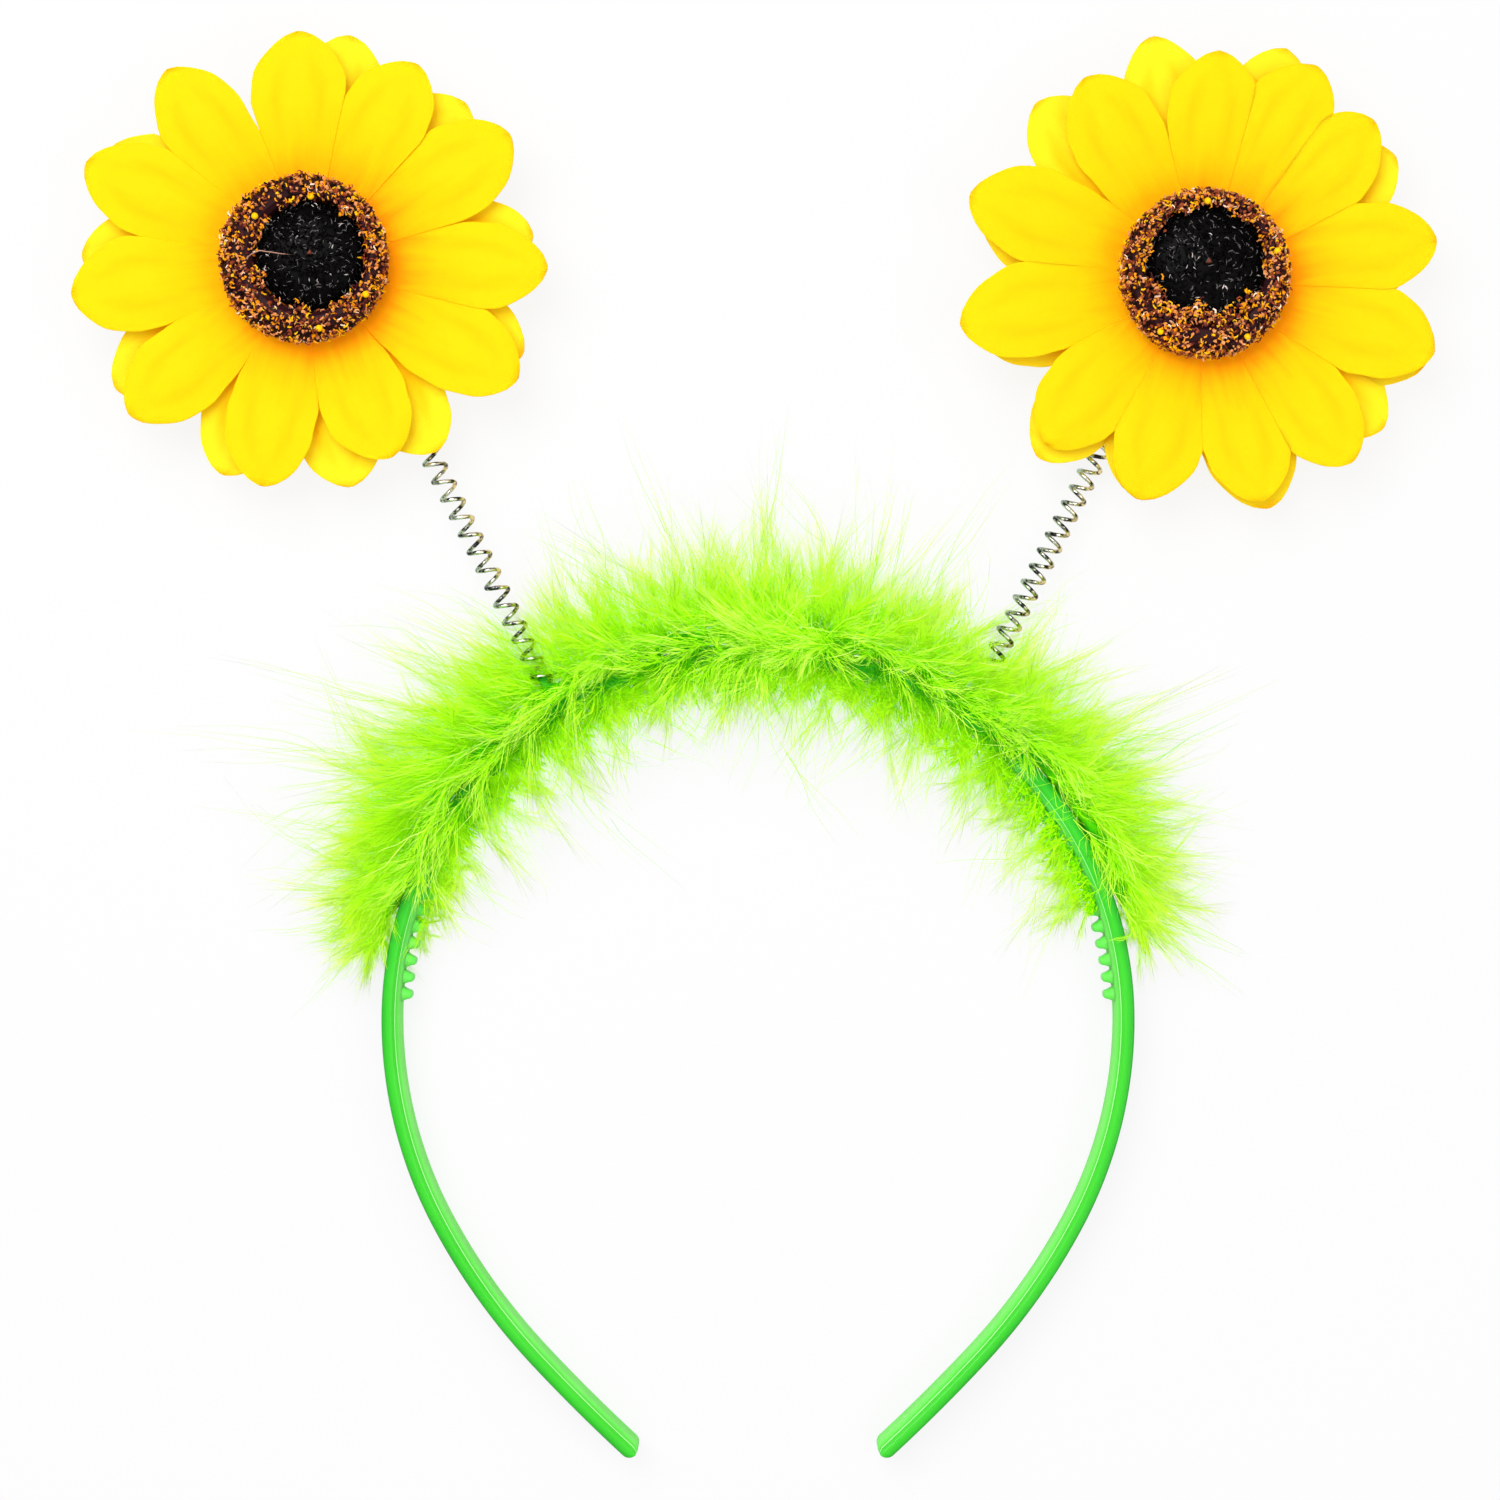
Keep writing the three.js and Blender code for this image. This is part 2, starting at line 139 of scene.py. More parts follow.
def smooth_table(at: Array, places: Array, values: Array) -> Array:
    """Read a short table with a smooth curve through its rows.

    Args:
        at: Where it is read.
        places: The rows' places, rising.
        values: The rows' values.

    Returns:
        The curve's values there.
    """
    places = np.asarray(places, float)
    values = np.asarray(values, float)
    slopes = np.gradient(values, places)
    at = np.clip(at, places[0], places[-1])
    row = np.clip(np.searchsorted(places, at, side="right") - 1, 0, len(places) - 2)
    width = places[row + 1] - places[row]
    share = (at - places[row]) / width
    rest = 1 - share
    return (
        (1 + 2 * share) * rest**2 * values[row]
        + share * rest**2 * width * slopes[row]
        + share**2 * (3 - 2 * share) * values[row + 1]
        - share**2 * rest * width * slopes[row + 1]
    )


def unit(vectors: Array) -> Array:
    """Scale vectors to length 1."""
    return vectors / np.maximum(np.linalg.norm(vectors, axis=-1, keepdims=True), 1e-9)


def smoothstep(low: float, high: float, at: Array) -> Array:
    """Rise smoothly from 0 at low to 1 at high."""
    share = np.clip((at - low) / (high - low), 0, 1)
    return share * share * (3 - 2 * share)


def round_turns(count: int) -> Array:
    """Space turns evenly round a circle."""
    return np.arange(count) * FULL_TURN / count


def circle_about(direction: Array, turn: Array) -> Array:
    """Find points at some turns of a circle of radius 1 that a level direction passes through."""
    across = np.array([direction[1], -direction[0], 0.0])
    return np.cos(turn)[:, None] * across + np.sin(turn)[:, None] * np.array([0, 0, 1.0])


def rounded(corners: tuple[tuple[float, float, float], ...], steps: int) -> Array:
    """Round off the corners of a closed outline.

    Args:
        corners: Each corner's two coordinates and how far its rounding reaches along its sides.
        steps: Points on each rounding.

    Returns:
        The outline's points, in the order of the corners.
    """
    points = np.array([corner[:2] for corner in corners])
    reach = np.array([corner[2] for corner in corners])[:, None]
    start = points + reach * unit(np.roll(points, 1, axis=0) - points)
    end = points + reach * unit(np.roll(points, -1, axis=0) - points)
    share = np.linspace(0, 1, steps)[None, :, None]
    rest = 1 - share
    curve = rest**2 * start[:, None] + 2 * share * rest * points[:, None] + share**2 * end[:, None]
    return curve.reshape(-1, 2)


def tube_faces(rows: int, sides: int, ring: bool = False) -> list[Array]:
    """List the faces of a skin over rows of points.

    Args:
        rows: Rows of points.
        sides: Points in each row, which closes on itself.
        ring: Whether the last row meets the first one, with no flat ends.

    Returns:
        Batches of faces, as indices of the points.
    """
    row, side = np.meshgrid(np.arange(rows if ring else rows - 1), np.arange(sides), indexing="ij")
    after = (side + 1) % sides
    above = (row + 1) % rows
    near, far = row * sides, above * sides
    quads = np.stack([near + side, near + after, far + after, far + side], axis=-1)
    if ring:
        return [quads.reshape(-1, 4)]
    ends = np.stack([np.arange(sides)[::-1], np.arange(sides) + (rows - 1) * sides])
    return [quads.reshape(-1, 4), ends]


class Shape:
    """Closed parts of one piece, gathered in millimetres with a value or vector at each point."""

    def __init__(self) -> None:
        """Start with no parts."""
        self.points: list[Array] = []
        self.faces: list[list[int]] = []
        self.values: dict[str, list[Array]] = {}
        self.count = 0

    def add(self, points: Array, faces: list[Array], **values: Array | float) -> None:
        """Add a closed part, with its faces turned to point out.

        Args:
            points: Its points, in any number of rows.
            faces: Batches of faces as indices of those points.
            values: What each point carries for the finish, by name.
        """
        points = np.asarray(points, float).reshape(-1, 3)
        volume = 0.0
        for batch in faces:
            corners = points[batch]
            for k in range(1, batch.shape[1] - 1):
                normal = np.cross(corners[:, k], corners[:, k + 1])
                volume += float((corners[:, 0] * normal).sum())
        turn = 1 if volume >= 0 else -1
        for batch in faces:
            self.faces += (batch[:, ::turn] + self.count).tolist()
        for name, value in values.items():
            value = np.asarray(value, float)
            size = (len(points), 3) if value.shape[-1:] == (3,) else (len(points),)
            self.values.setdefault(name, []).append(np.broadcast_to(value.reshape(-1, *size[1:]), size))
        self.points.append(points)
        self.count += len(points)

    def build(self, name: str, smooth: bool = True) -> bpy.types.Object:
        """Make the piece.

        Args:
            name: The piece's name.
            smooth: Whether its faces are shaded as one smooth surface.

        Returns:
            The new object, in metres.
        """
        mesh = bpy.data.meshes.new(name)
        mesh.from_pydata((np.concatenate(self.points) * MM).tolist(), [], self.faces)
        for key, parts in self.values.items():
            whole = np.concatenate(parts).astype(np.float32)
            kind, item = ("FLOAT", "value") if whole.ndim == 1 else ("FLOAT_VECTOR", "vector")
            mesh.attributes.new(key, kind, "POINT").data.foreach_set(item, whole.ravel())
        mesh.polygons.foreach_set("use_smooth", np.full(len(mesh.polygons), smooth))
        mesh.update()
        piece = bpy.data.objects.new(name, mesh)
        bpy.context.scene.collection.objects.link(piece)
        return piece


def add_strands(shape: Shape, paths: Array, widths: Array, facing: Array, tint: Array) -> None:
    """Add many tapered strands, each a closed three-sided point.

    Args:
        shape: The piece that they join.
        paths: Points of each strand from its root to its tip, strands by knots by 3.
        widths: The strand's width at each knot.
        facing: A direction for each strand that it never runs along.
        tint: What each knot carries for the finish's colour.
    """
    count, knots = paths.shape[:2]
    along = unit(np.gradient(paths, axis=1))
    flat = unit(np.cross(along, facing[:, None]))
    high = np.cross(along, flat)
    turn = round_turns(3)
    spread = np.cos(turn)[:, None] * flat[:, :-1, None] + np.sin(turn)[:, None] * high[:, :-1, None]
    rings = paths[:, :-1, None] + widths[:, :-1, None, None] / 2 * spread
    points = np.concatenate([rings.reshape(count, -1, 3), paths[:, -1:]], axis=1)
    tints = np.concatenate([np.repeat(tint[:, :-1], 3, axis=1), tint[:, -1:]], axis=1)
    side = np.arange(3)
    after = (side + 1) % 3
    start = 3 * np.arange(knots - 2)[:, None]
    near, far = start + side, start + after
    wall = [np.stack([near, far, far + 3], axis=-1), np.stack([near, far + 3, near + 3], axis=-1)]
    top = 3 * (knots - 2)
    tip = np.stack([top + side, top + after, np.full(3, top + 3)], axis=-1)
    strand = np.concatenate([part.reshape(-1, 3) for part in wall] + [tip, np.array([[2, 1, 0]])])
    offsets = np.arange(count)[:, None, None] * points.shape[1]
    shape.add(points, [(strand + offsets).reshape(-1, 3)], tint=tints.ravel())


def add_slivers(shape: Shape, paths: Array, widths: Array, facing: Array, tint: Array) -> None:
    """Add many fine straight hairs, each a closed sliver of four faces.

    Args:
        shape: The piece that they join.
        paths: The root, the middle and the tip of each hair, hairs by 3 by 3.
        widths: The hair's width at each of them, of which the middle's counts.
        facing: A direction for each hair that it never runs along.
        tint: What each of them carries for the finish's colour.
    """
    root, tip = paths[:, 0], paths[:, 2]
    flat = unit(np.cross(tip - root, facing))
    high = unit(np.cross(tip - root, flat))
    half = widths[:, 1, None] / 2
    middle = (root + tip) / 2 + half * high
    points = np.stack([root, tip, middle + half * flat, middle - half * flat], axis=1)
    sliver = np.array([[0, 2, 3], [1, 3, 2], [0, 1, 2], [0, 3, 1]])
    offsets = np.arange(len(paths))[:, None, None] * points.shape[1]
    shape.add(points, [(sliver + offsets).reshape(-1, 3)], tint=tint[:, [0, 2, 1, 1]].ravel())


def curled(root: Array, first: Array, aside: Array, radius: Array, turn: float, knots: int) -> Array:
    """Bend strands into arcs.

    Args:
        root: Where each strand starts.
        first: Its first direction.
        aside: Where it bends to, square to that.
        radius: The arc's radius.
        turn: How far it turns.
        knots: Points on each strand.

    Returns:
        The strands' points.
    """
    angle = np.linspace(0, turn, knots)[None, :, None]
    course = np.sin(angle) * first[:, None] + (1 - np.cos(angle)) * aside[:, None]
    return root[:, None] + radius[:, None, None] * course


def dress(
    piece: bpy.types.Object,
    material: bpy.types.Material,
    slot: Slot,
    *nodes: str,
) -> None:
    """Give a piece its finish, and tie it to the frame.

    Args:
        piece: The piece.
        material: Its finish.
        slot: The record's slot for that finish; not used.
        nodes: The solids that it stands for.
    """
    piece.data.materials.append(material)
    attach(piece, BODY)
    if nodes:
        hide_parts(*nodes)
    log.info("%s: %d faces, %s", piece.name, len(piece.data.polygons), material.name)


class Finish:
    """A real material, painted as nodes."""

    name: str

    def material(self) -> bpy.types.Material:
        """Make the material and paint it.

        Returns:
            The material.
        """
        made = bpy.data.materials.new(self.name)
        made.use_nodes = True
        self.paint(made.node_tree, made.node_tree.nodes["Principled BSDF"])
        return made

    def paint(self, tree: bpy.types.NodeTree, shader: bpy.types.Node) -> None:
        """Set the shader and add the nodes that vary it.

        Args:
            tree: The material's nodes.
            shader: Its principled shader.
        """
        raise NotImplementedError

    @staticmethod
    def set_all(shader: bpy.types.Node, **values: object) -> None:
        """Set sockets that hold one value all over, with spaces for underscores in their names."""
        for name, value in values.items():
            shader.inputs[name.replace("_", " ")].default_value = value


@dataclass(frozen=True)
class MouldedPlastic(Finish):
    """Injection moulded polypropylene, dyed through: glossy outside, matt inside, a little translucent."""

    name: str = "moulded_polypropylene"
    # Painted light and shade by place on the wall: painted shade on the thick outer edge, painted light
    # through the thin inner bevel, and a painted highlight line that runs along its top
    stops: Stops = (
        (0.0, "#147C28"),
        (0.3, "#34B828"),
        (0.5, "#42C232"),
        (0.75, "#66D654"),
        (0.86, "#7EE26C"),
        (1.0, "#D0FFC4"),
    )
    flow: float = 0.12
    flow_mm: float = 14.0
    peel_mm: float = 0.9
    peel_height_mm: float = 0.02
    depth_mm: float = 2.4

    def paint(self, tree: bpy.types.NodeTree, shader: bpy.types.Node) -> None:
        """Paint light and shade by place on the band as colour, with a painted highlight line and faint flow
        marks, under a slight orange peel.

        Args:
            tree: The material's nodes.
            shader: Its principled shader.
        """
        self.set_all(
            shader,
            IOR=1.49,
            Specular_IOR_Level=0.16,
            Subsurface_Weight=0.45,
            Subsurface_Radius=(0.35, 1.0, 0.3),
            Subsurface_Scale=self.depth_mm * MM,
        )
        place = add_node(tree, "ShaderNodeTexCoord").outputs["Object"]
        flow = add_node(
            tree,
            "ShaderNodeTexNoise",
            inputs={"Vector": place, "Scale": 1 / (self.flow_mm * MM), "Detail": 3.0},
        )
        # Painted light and shade: each place's share on the ramp, with faint flow marks added
        thin = add_node(tree, "ShaderNodeAttribute", {"attribute_name": "thin"}).outputs["Fac"]
        drift = add_node(
            tree,
            "ShaderNodeMath",
            {"operation": "MULTIPLY_ADD"},
            {0: flow.outputs["Fac"], 1: self.flow, 2: thin},
        )
        colour_ramp = add_node(tree, "ShaderNodeValToRGB", {"stops": self.stops}, {"Fac": drift.outputs["Value"]})
        peel = add_node(
            tree, "ShaderNodeTexNoise", inputs={"Vector": place, "Scale": 1 / (self.peel_mm * MM)}
        )
        bump = add_node(
            tree,
            "ShaderNodeBump",
            inputs={"Strength": 0.35, "Distance": self.peel_height_mm * MM, "Height": peel.outputs["Fac"]},
        )
        rough = add_node(tree, "ShaderNodeAttribute", {"attribute_name": "rough"}).outputs["Fac"]
        tree.links.new(colour_ramp.outputs["Color"], shader.inputs["Base Color"])
        tree.links.new(rough, shader.inputs["Roughness"])
        tree.links.new(bump.outputs["Normal"], shader.inputs["Normal"])


@dataclass(frozen=True)
class TintedShreds(Finish):
    """A material in many small pieces, each of which takes its colour from the tint that it carries: its
    dye, and painted light and shade where the finish has some.
    """

    name: str
    stops: Stops
    roughness: float
    ior: float
    specular: float
    interpolation: str = "LINEAR"
    # Painted light: a glow in the pieces' own colour, which stands in for light that comes through thin
    # pieces from behind
    glow: float = 0.0

    def paint(self, tree: bpy.types.NodeTree, shader: bpy.types.Node) -> None:
        """Colour each piece by its tint, with a painted glow in the same colour where the finish has one.

        Args:
            tree: The material's nodes.
            shader: Its principled shader.
        """
        self.set_all(shader, Roughness=self.roughness, IOR=self.ior, Specular_IOR_Level=self.specular)
        tint = add_node(tree, "ShaderNodeAttribute", {"attribute_name": "tint"})
        colour_ramp = add_node(
            tree,
            "ShaderNodeValToRGB",
            {"stops": self.stops, "interpolation": self.interpolation},
            {"Fac": tint.outputs["Fac"]},
        )
        tree.links.new(colour_ramp.outputs["Color"], shader.inputs["Base Color"])
        # Painted light: the pieces glow in their own colour
        if self.glow:
            self.set_all(shader, Emission_Strength=self.glow)
            tree.links.new(colour_ramp.outputs["Color"], shader.inputs["Emission Color"])


@dataclass(frozen=True)
class FeatherDown(TintedShreds):
    """Dyed marabou down: thin matte barbs, deep green at their roots and near the band, which paints the
    shade deep in the trim, pale lime at their tips, and a painted glow.
    """

    name: str = "dyed_marabou_down"
    roughness: float = 0.7
    ior: float = 1.54
    specular: float = 0.05
    # Painted light: a glow that stands in for light that comes through the barbs
    glow: float = 0.2
    # From deep green, the painted shade deep in the trim, up to pale lime at the tips
    stops: Stops = (
        (0.0, "#06960A"),
        (0.25, "#68DC00"),
        (0.5, "#B8FF0A"),
        (0.75, "#D0FF30"),
        (1.0, "#E6FF78"),
    )


@dataclass(frozen=True)
class SpringSteel(Finish):
    """Bright drawn wire with a thin zinc coat: mirror-like, with dull patches, and the coat's straw and
    green tints laid green on one side of each turn and straw on the other as painted reflection.
    """

    name: str = "zinc_coated_spring_steel"
    patches: Stops = ((0.4, "#34343C"), (0.48, "#B4B6B0"), (0.58, "#F4F4F0"))
    # Painted reflection over the coat's tints: greenish on one side of each turn, straw on the other
    sides: Stops = ((0.0, "#A8C49C"), (0.5, "#ECECE8"), (1.0, "#F0D48C"))
    patch_mm: float = 1.1

    def paint(self, tree: bpy.types.NodeTree, shader: bpy.types.Node) -> None:
        """Paint dull patches over a bright metal, and the coat's tints by the side of each turn as painted
        reflection.

        Args:
            tree: The material's nodes.
            shader: Its principled shader.
        """
        self.set_all(shader, Metallic=1.0, Roughness=0.14)
        place = add_node(tree, "ShaderNodeTexCoord").outputs["Object"]
        cloud = add_node(
            tree, "ShaderNodeTexNoise", inputs={"Vector": place, "Scale": 1 / (self.patch_mm * MM)}
        )
        patch = add_node(tree, "ShaderNodeValToRGB", {"stops": self.patches}, {"Fac": cloud.outputs["Fac"]})
        side = add_node(tree, "ShaderNodeAttribute", {"attribute_name": "side"}).outputs["Fac"]
        tint = add_node(tree, "ShaderNodeValToRGB", {"stops": self.sides}, {"Fac": side})
        coat_and_reflection = add_node(
            tree,
            "ShaderNodeMix",
            {"data_type": "RGBA", "blend_type": "MULTIPLY"},
            {"Factor": 1.0, "A": patch.outputs["Color"], "B": tint.outputs["Color"]},
        )
        tree.links.new(coat_and_reflection.outputs["Result"], shader.inputs["Base Color"])


@dataclass(frozen=True)
class PetalCloth(Finish):
    """Thin woven polyester, pressed into petals and dyed: matte, with soft streaks, painted shade in its
    creases and a painted glow.
    """

    name: str
    along: Stops
    # Painted shade along the pressed creases
    crease: str = "#DAB600"
    rim: str = "#DCA800"
    # Painted light: a warm glow of the cloth's own, which stands in for light that comes through from
    # behind, warmer for its way through the dye
    glow_colour: str = "#FF9000"
    glow: float = 0.13
    thread_mm: float = 0.45
    weave_height_mm: float = 0.05
    # Streaks of dye: their width, how slowly they change along a petal, how far they differ between petals
    streak_mm: float = 1.5
    streak_run: float = 0.06
    streak_step: float = 7.3
    streak_depth: float = 0.42
    depth_mm: float = 1.5

    def paint(self, tree: bpy.types.NodeTree, shader: bpy.types.Node) -> None:
        """Paint the dye's run from the root, with painted shade towards one side of the flower in it,
        streaks, painted shade along the creases, tinted tips, a painted glow and a plain weave.

        The threads are drawn about twice as wide as real ones, so that they show.

        Args:
            tree: The material's nodes.
            shader: Its principled shader.
        """
        self.set_all(
            shader,
            Roughness=0.8,
            IOR=1.45,
            Specular_IOR_Level=0.1,
            Subsurface_Weight=0.5,
            Subsurface_Radius=(1.0, 0.5, 0.05),
            Subsurface_Scale=self.depth_mm * MM,
            Emission_Color=linear(self.glow_colour),
            Emission_Strength=self.glow,
        )
        lie = add_node(tree, "ShaderNodeAttribute", {"attribute_name": "lie"}).outputs["Vector"]
        stretch = add_node(
            tree,
            "ShaderNodeVectorMath",
            {"operation": "MULTIPLY"},
            {0: lie, 1: (1 / self.streak_mm, self.streak_run, self.streak_step)},
        )
        streak = add_node(
            tree,
            "ShaderNodeTexNoise",
            inputs={"Vector": stretch.outputs["Vector"], "Scale": 1.0, "Detail": 3.0},
        )
        along = add_node(tree, "ShaderNodeAttribute", {"attribute_name": "along"}).outputs["Fac"]
        drift = add_node(
            tree,
            "ShaderNodeMath",
            {"operation": "MULTIPLY_ADD"},
            {0: streak.outputs["Fac"], 1: self.streak_depth, 2: along},
        )
        colour_ramp = add_node(tree, "ShaderNodeValToRGB", {"stops": self.along}, {"Fac": drift.outputs["Value"]})
        # Painted shade: the creases are darkened
        crease = add_node(tree, "ShaderNodeAttribute", {"attribute_name": "crease"}).outputs["Fac"]
        crease_shaded = add_node(
            tree,
            "ShaderNodeMix",
            {"data_type": "RGBA"},
            {"Factor": crease, "A": colour_ramp.outputs["Color"], "B": linear(self.crease)},
        )
        rim = add_node(tree, "ShaderNodeAttribute", {"attribute_name": "rim"}).outputs["Fac"]
        tipped = add_node(
            tree,
            "ShaderNodeMix",
            {"data_type": "RGBA"},
            {"Factor": rim, "A": crease_shaded.outputs["Result"], "B": linear(self.rim)},
        )
        warp, weft = (
            add_node(
                tree,
                "ShaderNodeTexWave",
                {"bands_direction": direction},
                {"Vector": lie, "Scale": WAVE_PERIOD / self.thread_mm},
            )
            for direction in ("X", "Y")
        )
        weave = add_node(
            tree, "ShaderNodeMath", {"operation": "ADD"}, {0: warp.outputs["Fac"], 1: weft.outputs["Fac"]}
        )
        bump = add_node(
            tree,
            "ShaderNodeBump",
            inputs={
                "Strength": 0.12,
                "Distance": self.weave_height_mm * MM,
                "Height": weave.outputs["Value"],
            },
        )
        tree.links.new(tipped.outputs["Result"], shader.inputs["Base Color"])
        tree.links.new(bump.outputs["Normal"], shader.inputs["Normal"])


@dataclass(frozen=True)
class FloretCrumb(TintedShreds):
    """Chopped dyed foam: matte crumbs of mixed browns and yellows, on a near-black body that paints the
    shade in the gaps, with a few pale curls as painted glints.
    """

    name: str = "chopped_foam_crumb"
    roughness: float = 0.45
    ior: float = 1.5
    specular: float = 0.1
    interpolation: str = "CONSTANT"
    # The palest colour paints glints on a few curls, and the second darkest is the body's painted shade
    stops: Stops = (
        (0.0, "#100508"),
        (0.08, "#2C1014"),
        (0.16, "#4A1A1E"),
        (0.34, "#8C4024"),
        (0.54, "#DC9058"),
        (0.7, "#EC940E"),
        (0.84, "#FABE0A"),
        (0.96, "#FADCC0"),
    )


@dataclass(frozen=True)
class DarkBristle(TintedShreds):
    """Black nylon flock: near black, with painted glints on some of the bristles, grey on many and whitish
    on a few.
    """

    name: str = "black_nylon_flock"
    roughness: float = 0.4
    ior: float = 1.53
    specular: float = 0.04
    # Near black bristles; grey towards 0.46 and whitish at the top are painted glints; the browns and pinks
    # between are the stub and the thread
    stops: Stops = (
        (0.0, "#050404"),
        (0.25, "#141010"),
        (0.46, "#767270"),
        (0.52, "#6E3A2C"),
        (0.75, "#C39384"),
        (1.0, "#D8D4D0"),
    )


@dataclass(frozen=True)
class PlainFelt(Finish):
    """Pressed yellow felt: matte, with short fibres in all directions."""

    name: str = "pressed_felt"
    deep: str = "#D9A400"
    main: str = "#F6C91A"
    fibre_mm: float = 0.35
    fuzz_mm: float = 0.1

    def paint(self, tree: bpy.types.NodeTree, shader: bpy.types.Node) -> None:
        """Paint mottled fibres with a fuzzy bump.

        Args:
            tree: The material's nodes.
            shader: Its principled shader.
        """
        self.set_all(shader, Roughness=0.95, Specular_IOR_Level=0.2, Sheen_Weight=0.3)
        place = add_node(tree, "ShaderNodeTexCoord").outputs["Object"]
        fibre = add_node(
            tree,
            "ShaderNodeTexNoise",
            inputs={"Vector": place, "Scale": 1 / (self.fibre_mm * MM), "Detail": 4.0},
        )
        colour_ramp = add_node(
            tree,
            "ShaderNodeValToRGB",
            {"stops": ((0.3, self.deep), (0.7, self.main))},
            {"Fac": fibre.outputs["Fac"]},
        )
        bump = add_node(
            tree,
            "ShaderNodeBump",
            inputs={"Strength": 0.5, "Distance": self.fuzz_mm * MM, "Height": fibre.outputs["Fac"]},
        )
        tree.links.new(colour_ramp.outputs["Color"], shader.inputs["Base Color"])
        tree.links.new(bump.outputs["Normal"], shader.inputs["Normal"])


@dataclass(frozen=True)
class PaleFloor(Finish):
    """A white light table: it glows through a matt sheet, so shadows on it stay faint."""

    name: str = "lit_white_acrylic"
    paper: str = "#505050"
    light: str = "#FFFFFF"
    glow: float = 0.86

    def paint(self, tree: bpy.types.NodeTree, shader: bpy.types.Node) -> None:
        """Set a plain matt sheet with a light of its own."""
        self.set_all(
            shader,
            Base_Color=linear(self.paper),
            Roughness=0.9,
            Specular_IOR_Level=0.1,
            Emission_Color=linear(self.light),
            Emission_Strength=self.glow,
        )


@dataclass(frozen=True)
class Softbox:
    """One square area light that looks at the middle of the object."""

    name: str
    x: float
    y: float
    z: float
    size: float
    power: float


@dataclass
class Studio:
    """The white sweep, the softboxes and the camera that looks straight down on the object."""

    aim: Pair = (-1.39, 46.85)
    aim_height: float = 8.0
    distance: float = 650.0
    frame_width: float = 260.25
    sensor: float = 36.0
    floor_size: float = 6000.0
    floor_drop: float = 0.2
    sky: float = 0.88
    horizon: Stops = ((0.18, "#484848"), (0.48, "#FFFFFF"))
    boxes: tuple[Softbox, ...] = (
        Softbox("key_softbox", -260, 340, 760, 600, 6.4),
        Softbox("fill_softbox", 420, -120, 640, 500, 1.3),
    )

    def build(self) -> None:
        """Make the floor, the light and the camera."""
        scene = bpy.context.scene
        scene.view_settings.view_transform = "Standard"
        self.add_floor()
        self.add_light()
        camera = bpy.data.cameras.new("camera")
        camera.sensor_width = self.sensor
        camera.lens = self.sensor * self.distance / self.frame_width
        stand = bpy.data.objects.new("camera", camera)
        stand.location = np.array([*self.aim, self.aim_height + self.distance]) * MM
        scene.collection.objects.link(stand)
        scene.camera = stand

    def add_floor(self) -> None:
        """Lay the sweep just under the object."""
        half = self.floor_size / 2
        corners = [(-half, -half), (half, -half), (half, half), (-half, half)]
        mesh = bpy.data.meshes.new("floor")
        mesh.from_pydata([(x * MM, y * MM, -self.floor_drop * MM) for x, y in corners], [], [(0, 1, 2, 3)])
        mesh.materials.append(PaleFloor().material())
        floor = bpy.data.objects.new("floor", mesh)
        bpy.context.scene.collection.objects.link(floor)

    def add_light(self) -> None:
        """Light the sky above a horizon that is dim, so that bright wire looks round, and hang softboxes."""
        scene = bpy.context.scene
        scene.world = bpy.data.worlds.new("studio_light")
        scene.world.use_nodes = True
        tree = scene.world.node_tree
        sky = tree.nodes["Background"]
        sky.inputs["Strength"].default_value = self.sky
        way = add_node(tree, "ShaderNodeTexCoord").outputs["Generated"]
        height = add_node(tree, "ShaderNodeSeparateXYZ", inputs={"Vector": way}).outputs["Z"]
        dome = add_node(tree, "ShaderNodeValToRGB", {"stops": self.horizon}, {"Fac": height})
        tree.links.new(dome.outputs["Color"], sky.inputs["Color"])
        for box in self.boxes:
            light = bpy.data.lights.new(box.name, "AREA")
            light.size = box.size * MM
            light.energy = box.power
            hung = bpy.data.objects.new(box.name, light)
            offset = Vector((box.x, box.y, box.z))
            hung.location = (Vector((*self.aim, 0.0)) + offset) * MM
            hung.rotation_mode = "QUATERNION"
            hung.rotation_quaternion = (-offset).to_track_quat("-Z", "Y")
            scene.collection.objects.link(hung)


@dataclass(frozen=True)
class BandLine:
    """The middle line of the band's wall: arcs that open out from the top of the crown to a tip."""

    # Radius of each arc, and how far it turns in degrees
    arcs: tuple[Pair, ...] = ((63.8, 90.0), (75.0, 28.0), (110.0, 15.0), (300.0, 4.6))

    @property
    def crown_radius(self) -> float:
        """Radius of the crown's arc."""
        return self.arcs[0][0]

    @property
    def half_length(self) -> float:
        """Length from the top of the crown to a tip."""
        return sum(radius * math.radians(sweep) for radius, sweep in self.arcs)

    def place(self, lengths: Array, out: Array, up: Array) -> Array:
        """Find points by their place along the band.

        Args:
            lengths: How far along from the top of the crown, below 0 on the left.
            out: How far out from the middle of the wall.
            up: How far up from the surface.

        Returns:
            The points.
        """
        lengths, out, up = np.broadcast_arrays(lengths, out, up)
        side = np.where(lengths < 0, -1.0, 1.0)
        rest = np.abs(lengths).astype(float)
        x = np.zeros(rest.shape)
        y = np.full(rest.shape, self.crown_radius)
        turn = np.zeros(rest.shape)
        for radius, sweep in self.arcs:
            end = turn + np.minimum(rest / radius, math.radians(sweep))
            x = x + radius * (np.sin(end) - np.sin(turn))
            y = y + radius * (np.cos(end) - np.cos(turn))
            rest = rest - radius * (end - turn)
            turn = end
        return np.stack([side * (x + out * np.sin(turn)), y + out * np.cos(turn), up], axis=-1)

    def on_crown(self, turns: Array, out: Array, up: Array) -> Array:
        """Find points on the crown by their turn from its top in degrees."""
        return self.place(np.radians(turns) * self.crown_radius, out, up)


